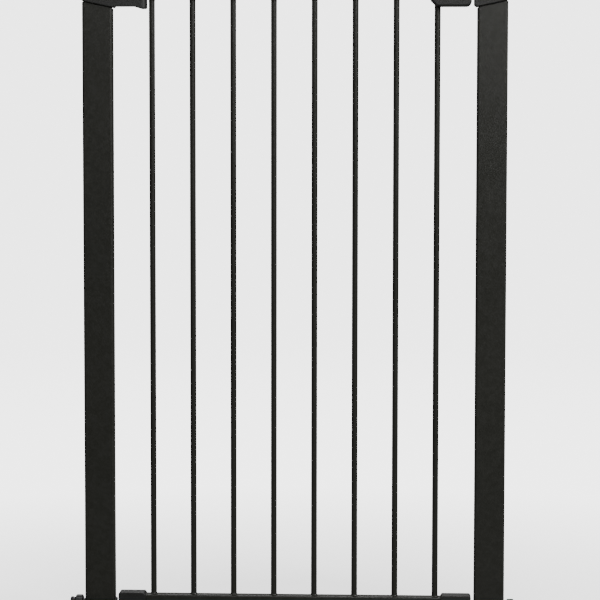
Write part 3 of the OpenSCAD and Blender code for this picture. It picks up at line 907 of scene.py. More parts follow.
@dataclass
class FrameLooks:
    """The frame: uprights, threshold, feet, top caps and their fasteners."""

    dress: Dresser
    body: str = "frame"
    wall: float = 1.5 * MM
    upright_r: float = 4.0 * MM
    slant: float = 11.0 * MM
    cap_outer_h: float = 37.5 * MM
    cap_chamfer: float = 3.64 * MM
    cap_edge: float = 1.4 * MM
    plug_gap: float = 1.65 * MM
    bush_r: float = 8.02 * MM
    bush_body_r: float = 8.0 * MM
    flange: float = 4.0 * MM
    pin_r: float = 5.02 * MM
    arm_drop: float = 46.0 * MM
    arm_h: float = 22.0 * MM
    arm_dip: float = 4.0 * MM
    arm_start: float = 53.0 * MM
    arm_bend: float = 22.0 * MM
    arm_bend_r: float = 14.0 * MM
    arm_tip: float = 9.0 * MM
    foot_h: float = 28.0 * MM
    tongue_top: float = 16.5 * MM
    tongue_half: float = 18.0 * MM
    foot_lip: float = 1.5 * MM
    lock_gap: float = 0.6 * MM
    bolt_half: float = 5.8 * MM
    keeper_floor: float = 1027.0 * MM
    keeper_depth: float = 9.7 * MM
    sleeve_hole_r: float = 8.1 * MM
    screw: PanScrew = field(default_factory=PanScrew)

    def build(self) -> None:
        """Builds and dresses every piece of the frame."""
        for side, name in ((Side.LEFT, "left"), (Side.RIGHT, "right")):
            self.upright(side, name + "_upright")
            self.foot(side, name + "_foot")
        self.threshold()
        self.left_cap()
        self.right_cap()
        self.screws()
        for corner in CORNERS:
            self.bush("spindle_bush_" + corner)
        self.dress.keep("threshold_pads", Slot.RUBBER)
        self.dress.keep("lower_hinge_pin", Slot.ZINC)

    def upright(self, side: Side, node: str) -> None:
        """A rectangular tube with round corners, cut on a slant under its cap.

        Args:
            side: the side that it is made for.
            node: the upright.
        """
        b = Box.of(node)
        outer = b.x1 if side is Side.RIGHT else b.x0
        slope = self.slant / (b.x1 - b.x0)
        top = b.z1

        def slanted(section: Array) -> Array:
            """The height falls with the distance from the outer face."""
            return top - slope * np.abs(outer - section[..., 0])

        outline = rounded_box(b.x0, b.x1, b.y0, b.y1, self.upright_r, 10)
        shell = tube(outline, self.wall, (level(b.z0), slanted), Axis.Z)
        self.dress.finish(piece(node + "_tube", shell), Slot.STEEL, self.body, node)

    def threshold(self) -> None:
        """The flat tube along the floor, with the slot for the door's lug."""
        b = Box.of("threshold_rail")
        outline = rounded_box(b.y0, b.y1, b.z0, b.z1, 2.0 * MM, 8)
        made = piece("threshold_tube", tube(outline, self.wall, (level(b.x0), level(b.x1)), Axis.X))
        carve(made, self.notch(b.z0 + self.wall + 1 * MM))
        self.dress.finish(made, Slot.STEEL, self.body, "threshold_rail")

    def notch(self, z: float) -> bpy.types.Object:
        """The space that the lug drops into, from a height up.

        Args:
            z: where it starts.

        Returns:
            The cutting shape.
        """
        x, half_w, half_t = -PIVOT_X, LUG[0] / 2 + self.lock_gap, LUG[1] / 2 + self.lock_gap
        outline = rounded_box(x - half_w, x + half_w, -half_t, half_t, 1.0 * MM, 4)
        return piece("notch", prism(outline, z, z + 30 * MM, Axis.Z))

    def foot(self, side: Side, node: str) -> None:
        """A block under the upright with a lower tongue over the threshold rail.

        Args:
            side: the side that it is made for.
            node: the foot.
        """
        b = Box.of(node)
        inner = b.x0 if side is Side.RIGHT else b.x1
        outer = b.x1 if side is Side.RIGHT else b.x0
        upright = Box.of(node.replace("foot", "upright"))
        face = (upright.x0 if side is Side.RIGHT else upright.x1) - side.value * self.foot_lip
        block = rounded_box(min(face, outer), max(face, outer), b.y0, b.y1, 4.0 * MM, 8)
        inside = face + side.value * 8 * MM
        tongue = rounded_box(min(inner, inside), max(inner, inside), -self.tongue_half, self.tongue_half,
                             3.0 * MM, 6)
        made = piece(node + "_moulding", prism(block, b.z0, self.foot_h, Axis.Z, 1.0 * MM, 2.2 * MM))
        weld(made, piece("tongue", prism(tongue, b.z0, self.tongue_top, Axis.Z, 1.0 * MM, 1.6 * MM)),
             self.plug(side, self.foot_h - PAST, b.z1))
        carve(made, self.bush_hole(side, "lower"))
        if side is Side.RIGHT:
            carve(made, self.notch(5 * MM))
        else:
            pin = Box.of("lower_hinge_pin")
            hole = circle(PIVOT_X, 0.0, self.pin_r)
            carve(made, piece("pin_hole", prism(hole, pin.z0, self.tongue_top + PAST, Axis.Z)))
        self.dress.finish(made, Slot.MOULDED, self.body, node)

    def cap_outline(self, side: Side, node: str) -> Outline:
        """A cap from the front: slanted underneath, with a small chamfer at its inner corner.

        Args:
            side: the side that it is made for.
            node: the cap.

        Returns:
            The outline.
        """
        b = Box.of(node)
        x1 = max(abs(b.x0), abs(b.x1))
        x0 = Box.of("right_top_cap").x0
        low = b.z1 - self.cap_outer_h
        corners = [(x1, low, 1.6 * MM), (x1, b.z1, 9.0 * MM), (x0, b.z1, 4.0 * MM),
                   (x0, low - self.slant + self.cap_chamfer, 1.8 * MM),
                   (x0 + self.cap_chamfer, low - self.slant, 1.8 * MM)]
        return filleted(on_side(corners, side), 8)

    def cap_block(self, side: Side, node: str) -> Shell:
        """The cap's rounded block."""
        b = Box.of(node)
        return prism(self.cap_outline(side, node), b.y0, b.y1, Axis.Y, self.cap_edge, self.cap_edge, 6)

    def plug(self, side: Side, low: float, high: float) -> bpy.types.Object:
        """The plug that fills an end of the upright and shows dark in the groove under a cap.

        Args:
            side: the side that it is made for.
            low: where it starts.
            high: where it ends.

        Returns:
            The plug.
        """
        upright = Box.of("right_upright")
        x0, x1 = sorted((side.value * (upright.x0 + self.plug_gap),
                         side.value * (upright.x1 - self.plug_gap)))
        plan = rounded_box(x0, x1, upright.y0 + self.plug_gap, upright.y1 - self.plug_gap,
                           self.upright_r - self.wall, 6)
        return piece("plug", prism(plan, low, high, Axis.Z))

    def bush_hole(self, side: Side, row: str) -> bpy.types.Object:
        """The hole that a spindle's bush sits in.

        Args:
            side: the side that it is made for.
            row: upper or lower.

        Returns:
            The cutting shape.
        """
        bush = Box.of(f"spindle_bush_{row}_right")
        z, far = (bush.z0 + bush.z1) / 2, bush.x1 + PAST
        low, high = sorted((side.value * (bush.x0 - 0.1 * MM), side.value * far))
        return piece("bush_hole", prism(circle(0.0, z, self.bush_r), low, high, Axis.X))

    def fit_to_upright(self, made: bpy.types.Object, side: Side, b: Box) -> None:
        """Adds a cap's plug and cuts its bush hole."""
        weld(made, self.plug(side, b.z0, b.z1 - self.cap_outer_h + PAST))
        carve(made, self.bush_hole(side, "upper"))

    def left_cap(self) -> None:
        """The left cap and its hinge arm in one, bored for the pivot sleeve."""
        b = Box.of("left_top_cap")
        base, start = b.z1 - self.arm_drop, b.x0 + self.arm_start
        arm = filleted([(start, base, 2.0 * MM), (b.x1 - self.arm_bend, base, self.arm_bend_r),
                        (b.x1 - self.arm_tip, base - self.arm_dip, self.arm_bend_r),
                        (b.x1, base - self.arm_dip, 2.5 * MM),
                        (b.x1, base + self.arm_h, 2.0 * MM), (start, base + self.arm_h, 2.0 * MM)], 8)
        made = piece("left_cap_and_hinge_arm", prism(arm, b.y0 - MM, b.y1 + MM, Axis.Y))
        plan = rounded_box(start - 20 * MM, b.x1, b.y0, b.y1, 8.0 * MM, 10)
        tip = prism(plan, base - self.arm_dip, base + self.arm_h, Axis.Z, 1.2 * MM, 1.6 * MM)
        combine(made, [piece("plan", tip)], "INTERSECT")
        weld(made, piece("block", self.cap_block(Side.LEFT, "left_top_cap")))
        self.fit_to_upright(made, Side.LEFT, b)
        hole = circle(PIVOT_X, 0.0, self.sleeve_hole_r)
        carve(made, piece("bore", prism(hole, base + 3 * MM, base + 50 * MM, Axis.Z)))
        self.dress.finish(made, Slot.MOULDED, self.body, "left_top_cap")

    def right_cap(self) -> None:
        """The right cap with its open-topped keeper slot."""
        b = Box.of("right_top_cap")
        made = piece("right_cap_and_keeper", self.cap_block(Side.RIGHT, "right_top_cap"))
        self.fit_to_upright(made, Side.RIGHT, b)
        half = self.bolt_half + 0.4 * MM
        slot = rounded_box(b.x0 - 5 * MM, b.x0 + self.keeper_depth, -half, half, 1.0 * MM, 4)
        carve(made, piece("keeper", prism(slot, self.keeper_floor, b.z1 + PAST, Axis.Z)))
        self.dress.finish(made, Slot.MOULDED, self.body, "right_top_cap")

    def bush(self, node: str) -> None:
        """A flanged bush, shown from the flange inwards.

        Args:
            node: the bush.
        """
        b = Box.of(node)
        side = 1.0 if b.x1 > 0 else -1.0
        far, near = (b.x1, b.x0) if side > 0 else (-b.x0, -b.x1)
        flange = far - self.flange
        bore, body, rim = SPINDLE_BORE, self.bush_body_r, (b.z1 - b.z0) / 2
        profile = [(bore, near), (body, near), (body, flange), (rim - 0.5 * MM, flange),
                   (rim, flange + 0.5 * MM), (rim, far - 0.8 * MM), (rim - 0.8 * MM, far),
                   (bore + 0.4 * MM, far), (bore, far - 0.4 * MM)]
        shell = lathe(profile, (0.0, (b.z0 + b.z1) / 2), Axis.X, closed=True)
        self.dress.finish(piece(node + "_ring", shell if side > 0 else half_turned(shell)),
                          Slot.MOULDED, self.body, node)

    def screws(self) -> None:
        """The rear screws that hold the caps and feet in the uprights."""
        for node in ("cap_screws", "foot_screws"):
            self.dress.finish(self.screw.rear_pair(node, 11 * MM), Slot.ZINC, self.body, node)


# ---- Door ---------------------------------------------------------------------------------------


@dataclass
class DoorLooks:
    """The door: rails, bars, hinge block, end caps, handle shells and their screws."""

    dress: Dresser
    body: str = "door"
    bars: int = 8
    wall: float = 1.5 * MM
    rail_r: float = 2.5 * MM
    bead_r: float = 1.7 * MM
    bead_fall: float = 0.9 * MM
    edge: float = 1.4 * MM
    socket_r: float = 9.45 * MM
    rail_top: float = 38.0 * MM
    end_cap_slope: float = 2.45 * MM
    handle_chamfer: float = 10.0 * MM
    handle_edge: float = 2.9 * MM
    handle_wall: float = 3.0 * MM
    handle_r: float = 8.0 * MM
    handle_seam: float = 0.12 * MM
    seam_edge: float = 0.35 * MM
    lock_gap: float = 0.4 * MM
    lock_travel: float = 12.0 * MM
    screw: PanScrew = field(default_factory=PanScrew)

    def build(self) -> None:
        """Builds and dresses every piece of the door."""
        self.rail("top_rail")
        self.rail("bottom_rail")
        for number in range(1, self.bars + 1):
            self.bar(number)
        self.hinge_block()
        self.end_caps()
        self.handle()
        self.screws()
        self.dress.keep("upper_hinge_pin", Slot.ZINC)

    def rail(self, node: str) -> None:
        """A square tube with round corners along X.

        Args:
            node: the rail.
        """
        b = Box.of(node)
        outline = rounded_box(b.y0, b.y1, b.z0, b.z1, self.rail_r, 8)
        shell = tube(outline, self.wall, (level(b.x0), level(b.x1)), Axis.X)
        self.dress.finish(piece(node + "_tube", shell), Slot.STEEL, self.body, node)

    def bar(self, number: int) -> None:
        """A round bar whose ends flare into a weld bead.

        The radius grows towards an end as bead exp(-d / fall), d from the end, with ripples
        round the bead as sines of the angle.

        Args:
            number: its place from the hinge.
        """
        node = f"bar_{number}"
        b = Box.of(node)
        r = (b.x1 - b.x0) / 2
        near = np.array([0.0, 0.25, 0.55, 0.9, 1.4, 2.0, 2.8, 4.0, 6.0]) * MM
        height = np.concatenate([b.z0 + near, b.z1 - near[::-1]])
        gap = np.minimum(height - b.z0, b.z1 - height)
        phase = number * 1.7

        def flare(radii: Array, angle: Array) -> Array:
            """The radius grows by a rippled bead towards each end."""
            ripple = 1.0 + 0.16 * np.sin(5 * angle + phase) + 0.10 * np.sin(11 * angle - phase)
            return radii + self.bead_r * np.exp(-gap / self.bead_fall)[:, None] * ripple

        profile = [(r, z) for z in height]
        shell = lathe(profile, ((b.x0 + b.x1) / 2, 0.0), Axis.Z, steps=40, radius=flare)
        self.dress.finish(piece(node + "_rod", shell, soft_angle=60), Slot.STEEL, self.body, node)

    def hinge_block(self) -> None:
        """The block on the rail's end, half round about the pivot."""
        b = Box.of("upper_hinge_block")
        half = (b.y1 - b.y0) / 2
        plan = filleted([(b.x0, b.y0, half * 0.995), (b.x1, b.y0, 2.5 * MM), (b.x1, b.y1, 2.5 * MM),
                         (b.x0, b.y1, half * 0.995)], 14)
        made = piece("upper_hinge_block_moulding", prism(plan, b.z0, b.z1, Axis.Z, 0.8 * MM, 2.3 * MM, 6))
        rail = Box.of("top_rail")
        pocket = rounded_box(rail.y0, rail.y1, rail.z0 - 20 * MM, rail.z1, self.rail_r, 4)
        carve(made, piece("pocket", prism(pocket, rail.x0, rail.x0 + 40 * MM, Axis.X)))
        screw = Box.of("hinge_block_screw")
        seat = circle((screw.x0 + screw.x1) / 2, 0.0, self.screw.head + SCREW_GAP, 40)
        carve(made, piece("seat", prism(seat, screw.z1 - self.screw.thickness, b.z1 + 5 * MM, Axis.Z)))
        self.dress.finish(made, Slot.MOULDED, self.body, "upper_hinge_block")

    def end_caps(self) -> None:
        """The two moulded ends of the bottom rail, one with the pivot's socket and one with the lug."""
        for side, node in ((Side.LEFT, "lower_hinge_cap"), (Side.RIGHT, "lower_latch_cap")):
            b = Box.of(node)
            x0, x1 = (b.x0, b.x1) if side is Side.RIGHT else (-b.x1, -b.x0)
            base = Box.of("bottom_rail").z0
            corners = [(x0, base, 1.5 * MM), (x1, base, 1.6 * MM), (x1, b.z1, 4.0 * MM),
                       (x0 + self.end_cap_slope, b.z1, 2.0 * MM), (x0, self.rail_top, 1.5 * MM)]
            outline = filleted(on_side(corners, side), 8)
            made = piece(node + "_moulding", prism(outline, b.y0, b.y1, Axis.Y, self.edge, self.edge, 6))
            if side is Side.LEFT:
                hole = circle(PIVOT_X, 0.0, self.socket_r)
                top = Box.of("lower_pivot_sleeve").z1 + 1 * MM
                carve(made, piece("socket", prism(hole, base - 5 * MM, top, Axis.Z)))
            else:
                half_w, half_t = LUG[0] / 2, LUG[1] / 2
                plan = rounded_box(-PIVOT_X - half_w, -PIVOT_X + half_w, -half_t, half_t, 1.2 * MM, 4)
                weld(made, piece("lug", prism(plan, b.z0, base + 4 * MM, Axis.Z, 1.0 * MM, 0.0, 4)))
            self.dress.finish(made, Slot.MOULDED, self.body, node)

    def handle(self) -> None:
        """The handle's two shells, hollow for the rail's end, the last bar and the lock."""
        for node, way in (("handle_front_shell", -1), ("handle_rear_shell", 1)):
            b = Box.of(node)
            outline = filleted([(b.x0 + self.handle_chamfer, b.z0, 3.0 * MM), (b.x1, b.z0, self.handle_r),
                                (b.x1, b.z1, self.handle_r), (b.x0, b.z1, self.handle_r),
                                (b.x0, b.z0 + self.handle_chamfer, 3.0 * MM)], 10)
            if way < 0:
                ends, edges = (b.y0, b.y1 - self.handle_seam), (self.handle_edge, self.seam_edge)
            else:
                ends, edges = (b.y0 + self.handle_seam, b.y1), (self.seam_edge, self.handle_edge)
            made = piece(node + "_moulding", prism(outline, *ends, Axis.Y, *edges, 8))
            carve(made, *self.handle_hollows(b, node))
            self.dress.finish(made, Slot.MOULDED, self.body, node)

    def handle_hollows(self, b: Box, node: str) -> list[bpy.types.Object]:
        """The cuts inside a shell: lock room, bolt mouth, thumb slot, rail, bar and screw seats.

        Args:
            b: the shell's box.

        Returns:
            The cutting shapes.
        """
        rail, bolt, thumb, bar = (Box.of(n) for n in ("top_rail", "lock_bolt", "thumb_slide", "bar_8"))
        spring = Box.of("lock_spring")
        depth = (b.y1 if b.y1 > 1 * MM else -b.y0) - self.handle_wall
        gap, travel = self.lock_gap, self.lock_travel
        stem = Box(bolt.x0 + 5 * MM, -2.8 * MM, bolt.z0, bolt.x0 + 11 * MM, 2.8 * MM, thumb.z1)
        cuts = [
            ("room", rounded_box(spring.x0 - 0.1 * MM, b.x1 - self.handle_wall, -depth, depth, 1 * MM, 4),
             b.z0 + 11.5 * MM, b.z1 - self.handle_wall, Axis.Z),
            ("mouth", rounded_box(bolt.y0 - gap, bolt.y1 + gap, bolt.z0 - gap, bolt.z1 + gap, 0.8 * MM, 4),
             b.x1 - PAST, b.x1 + PAST, Axis.X),
            ("thumb_slot", rounded_box(stem.x0 - travel - gap, stem.x1 + gap, stem.y0 - gap, stem.y1 + gap,
                                       1.2 * MM, 4), b.z1 - PAST, b.z1 + PAST, Axis.Z),
            ("rail_room", rounded_box(rail.y0, rail.y1, rail.z0, rail.z1, self.rail_r, 4),
             rail.x1 - 60 * MM, rail.x1, Axis.X),
            ("bar_hole", circle((bar.x0 + bar.x1) / 2, 0.0, (bar.x1 - bar.x0) / 2 + 0.15 * MM, 40),
             b.z0 - PAST, rail.z0 + 1 * MM, Axis.Z),
        ]
        tools = [piece(name, prism(outline, low, high, axis)) for name, outline, low, high, axis in cuts]
        if b.y1 > 1 * MM:
            screws = Box.of("handle_screws")
            for x, z in self.handle_screw_places(screws):
                seat = circle(x, z, self.screw.head + SCREW_GAP, 40)
                base = screws.y1 - self.screw.thickness
                tools.append(piece("seat", prism(seat, base, b.y1 + PAST, Axis.Y)))
        return tools

    def handle_screw_places(self, screws: Box) -> list[tuple[float, float]]:
        """The x and z of the handle's two screws, from the corners of their box."""
        r = self.screw.head
        return [(screws.x0 + r, screws.z1 - r), (screws.x1 - r, screws.z0 + r)]

    def screws(self) -> None:
        """The screws of the end caps, the handle and the hinge block."""
        ends = self.screw.rear_pair("end_cap_screws", 5.5 * MM)
        self.dress.finish(ends, Slot.ZINC, self.body, "end_cap_screws")
        b = Box.of("handle_screws")
        seat = b.y1 - self.screw.thickness
        pair = [self.screw.shell((x, seat, z), Axis.Y, seat - b.y0) for x, z in self.handle_screw_places(b)]
        self.dress.finish(piece("handle_screws_pair", *pair), Slot.ZINC, self.body, "handle_screws")
        b = Box.of("hinge_block_screw")
        seat = b.z1 - self.screw.thickness
        one = self.screw.shell(((b.x0 + b.x1) / 2, 0.0, seat), Axis.Z, 11.5 * MM)
        self.dress.finish(piece("hinge_block_screw_body", one), Slot.ZINC, self.body, "hinge_block_screw")


# ---- Lock ---------------------------------------------------------------------------------------


@dataclass
class LockLooks:
    """The thumb slide, the bolt and the spring behind it."""

    dress: Dresser
    body: str = "lock"
    bevel: float = 2.5 * MM
    ridges: int = 5
    ridge_h: float = 1.2 * MM
    ridge_half: float = 0.85 * MM
    ridge_margin: float = 5.0 * MM
    ridge_inset: float = 2.5 * MM
    ridge_edge: float = 0.6 * MM
    plate_t: float = 2.6 * MM
    turns: float = 9.0
    wire: float = 0.5 * MM

    def build(self) -> None:
        """Builds and dresses the three pieces."""
        self.bolt()
        self.slide()
        self.spring()

    def bolt(self) -> None:
        """A flat bolt, bevelled both ways at its tip."""
        b = Box.of("lock_bolt")
        plan = filleted([(b.x0, b.y0, 0.6 * MM), (b.x1 - self.bevel, b.y0, 1.2 * MM),
                         (b.x1, b.y0 + self.bevel, 0.9 * MM), (b.x1, b.y1 - self.bevel, 0.9 * MM),
                         (b.x1 - self.bevel, b.y1, 1.2 * MM), (b.x0, b.y1, 0.6 * MM)], 5)
        made = piece("lock_bolt_bar", prism(plan, b.z0, b.z1, Axis.Z, 0.5 * MM, 0.5 * MM, 4))
        self.dress.finish(made, Slot.ZINC, self.body, "lock_bolt")

    def slide(self) -> None:
        """A thumb plate with round-topped ridges across it, on its stem."""
        b = Box.of("thumb_slide")
        bolt = Box.of("lock_bolt")
        stem = rounded_box(bolt.x0 + 5 * MM, bolt.x0 + 11 * MM, -2.8 * MM, 2.8 * MM, 0.5 * MM, 3)
        plate_top = b.z1 - self.ridge_h
        plate_base = plate_top - self.plate_t
        plate = rounded_box(b.x0, b.x1, b.y0, b.y1, 4.0 * MM, 8)
        shells = [prism(stem, b.z0, plate_base + 1 * MM, Axis.Z),
                  prism(plate, plate_base, plate_top, Axis.Z, 0.4 * MM, 0.9 * MM, 5)]
        pitch = (b.x1 - b.x0 - 2 * self.ridge_margin) / (self.ridges - 1)
        for i in range(self.ridges):
            x = b.x0 + self.ridge_margin + i * pitch
            section = rounded_box(x - self.ridge_half, x + self.ridge_half, plate_top - self.ridge_h, b.z1,
                                  0.8 * MM, 5)
            shells.append(prism(section, b.y0 + self.ridge_inset, b.y1 - self.ridge_inset, Axis.Y,
                                self.ridge_edge, self.ridge_edge, 4))
        self.dress.finish(piece("thumb_slide_button", *shells), Slot.GREY, self.body, "thumb_slide")

    def spring(self) -> None:
        """A coil: the wire's circle carried along a helix, with its frame turned with the helix.

        A point is the helix point plus the wire's radius times cos and sin of its own angle
        along the outward ray and along X.
        """
        b = Box.of("lock_spring")
        radius = (b.y1 - b.y0) / 2 - self.wire
        middle = (b.z0 + b.z1) / 2
        t = np.linspace(0.0, 1.0, int(self.turns * 28))[:, None]
        phi = np.arange(10)[None, :] / 10 * TAU
        theta = t * self.turns * TAU
        out = radius + self.wire * np.cos(phi)
        points = np.stack([b.x0 + self.wire + t * (b.x1 - b.x0 - 2 * self.wire) + self.wire * np.sin(phi),
                           out * np.cos(theta), middle + out * np.sin(theta)], axis=-1)
        coil = piece("lock_spring_coil", Shell(points), soft_angle=80)
        made = self.dress.finish(coil, Slot.ZINC, self.body, "lock_spring")
        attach(made, "door")
        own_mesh(made)


# ---- Pivots and wall fittings ---------------------------------------------------------------------


@dataclass
class PivotLooks:
    """The two nylon sleeves that turn with the door."""

    dress: Dresser

    def build(self) -> None:
        """Dresses both sleeves, whose own shapes are kept."""
        for node in ("upper_pivot_sleeve", "lower_pivot_sleeve"):
            self.dress.keep(node, Slot.NYLON)


@dataclass
class WallFitting:
    """One corner's spindle, hand wheel, pad plate and wall pad, worked out for the right side."""

    dress: Dresser
    corner: str
    thread_pitch: float = 3.0 * MM
    thread_depth: float = 0.9 * MM
    lobes: int = 12
    flute: float = 1.5 * MM
    flute_band: float = 3.2 * MM
    plate_bore: float = 5.05 * MM
    rib_start: float = 0.8 * MM
    rib_pitch: float = 2.4 * MM
    rib_h: float = 0.7 * MM

    def build(self) -> None:
        """Builds the four pieces and puts them on their side."""
        spindle = Box.of("spindle_" + self.corner)
        self.left = spindle.x0 < 0
        self.z = (spindle.z0 + spindle.z1) / 2
        slide, turn = "spindle_" + self.corner, "wheel_" + self.corner
        self.add("spindle", self.spindle(spindle), Slot.ZINC, slide)
        self.add("hand_wheel", self.wheel(Box.of("hand_wheel_" + self.corner)), Slot.MOULDED, turn)
        self.add("pad_plate", self.plate(Box.of("pad_plate_" + self.corner)), Slot.MOULDED, slide)
        self.add("wall_pad", self.pad(Box.of("wall_pad_" + self.corner)), Slot.RUBBER, slide)

    def add(self, kind: str, shell: Shell, slot: Slot, body: str) -> None:
        """Makes one piece, turned half round for the left side.

        Args:
            kind: which of the four.
            shell: its surface.
            slot: its finish.
            body: the body it rides.
        """
        node = f"{kind}_{self.corner}"
        shown = half_turned(shell) if self.left else shell
        self.dress.finish(piece(node + "_body", shown, soft_angle=40), slot, body, node)

    def ends(self, b: Box) -> tuple[float, float]:
        """A box's near and far distance from the gate's middle."""
        return (-b.x1, -b.x0) if self.left else (b.x0, b.x1)

    def spindle(self, b: Box) -> Shell:
        """A screw: the radius is a rounded ridge of x / pitch less the turn, tapered at the ends.

        Args:
            b: its box.

        Returns:
            A closed shell.
        """
        near, far = self.ends(b)
        r = (b.z1 - b.z0) / 2
        rows = np.arange(near, far, self.thread_pitch / 9)
        x = np.concatenate([rows, [far]])[:, None]
        angle = (np.arange(36) / 36 * TAU)[None, :]
        wave = 0.5 + 0.5 * np.cos(TAU * x / self.thread_pitch - angle)
        ridge = wave ** 0.7
        taper = np.clip(np.minimum(x - near, far - x) / (1.5 * MM), 0, 1)
        radius = (r - self.thread_depth) + self.thread_depth * ridge * taper
        section = np.stack([radius * np.cos(angle), self.z + radius * np.sin(angle)], axis=-1)
        return Shell(place(section, x, Axis.X))

    def wheel(self, b: Box) -> Shell:
        """A fluted wheel: the radius dips by the flute's depth times a narrow cosine of the angle.

        Args:
            b: its box.

        Returns:
            A closed shell.
        """
        near, far = self.ends(b)
        rim = max(b.z1 - b.z0, b.y1 - b.y0) / 2
        bore = SPINDLE_BORE
        profile = [(bore, near + 0.4 * MM), (bore + 0.4 * MM, near), (rim - 2.6 * MM, near),
                   (rim - 1.0 * MM, near + 0.35 * MM), (rim - 0.3 * MM, near + 0.9 * MM),
                   (rim, near + 1.8 * MM), (rim, far - 2.4 * MM), (rim - 0.35 * MM, far - 1.2 * MM),
                   (rim - 1.2 * MM, far - 0.4 * MM), (rim - 2.6 * MM, far), (rim - 4.0 * MM, far),
                   (rim - 4.5 * MM, far - 1.1 * MM), (bore + 3.6 * MM, far - 1.1 * MM),
                   (bore + 3.0 * MM, far), (bore + 0.4 * MM, far), (bore, far - 0.4 * MM)]

        def fluted(radii: Array, angle: Array) -> Array:
            """The radius dips at each lobe, near the rim only.

            Args:
                radii: radii of the rows.
                angle: angles of the columns.

            Returns:
                The new radii.
            """
            share = np.clip((radii - (rim - self.flute_band)) / self.flute_band, 0, 1) ** 1.3
            dip = (0.5 + 0.5 * np.cos(self.lobes * angle)) ** 3
            return radii - self.flute * share * dip

        return lathe(profile, (0.0, self.z), Axis.X, closed=True, steps=self.lobes * 14, radius=fluted)

    def plate(self, b: Box) -> Shell:
        """A plate with a raised ring and a rounded rim.

        Args:
            b: its box.

        Returns:
            A closed shell.
        """
        near, far = self.ends(b)
        rim = (b.z1 - b.z0) / 2
        profile = [(self.plate_bore, near + 0.2 * MM), (5.3 * MM, near), (7.6 * MM, near),
                   (8.4 * MM, near + 0.9 * MM), (rim - 2.4 * MM, near + 1.0 * MM),
                   (rim - 1.8 * MM, near + 0.3 * MM), (rim - 0.6 * MM, near),
                   (rim, near + 0.6 * MM), (rim, far), (self.plate_bore, far)]
        return lathe(profile, (0.0, self.z), Axis.X, closed=True)

    def pad(self, b: Box) -> Shell:
        """A rubber disc whose wall face has ring-shaped ribs, a cosine of the radius.

        Args:
            b: its box.

        Returns:
            A closed shell.
        """
        near, far = self.ends(b)
        rim = (b.z1 - b.z0) / 2
        radii = np.linspace(rim - 1.6 * MM, self.rib_start, 60)
        ribs = 0.5 - 0.5 * np.cos(TAU * (radii - self.rib_start) / self.rib_pitch)
        face = [(float(r), float(far - self.rib_h * rib)) for r, rib in zip(radii, ribs)]
        start = [(rim - 1.0 * MM, near), (rim - 0.3 * MM, near + 0.25 * MM), (rim, near + 0.9 * MM),
                 (rim, far - 1.6 * MM), (rim - 0.3 * MM, far - 0.7 * MM), (rim - 0.9 * MM, far - 0.15 * MM)]
        return lathe(start + face, (0.0, self.z), Axis.X)


# ---- Studio ---------------------------------------------------------------------------------------


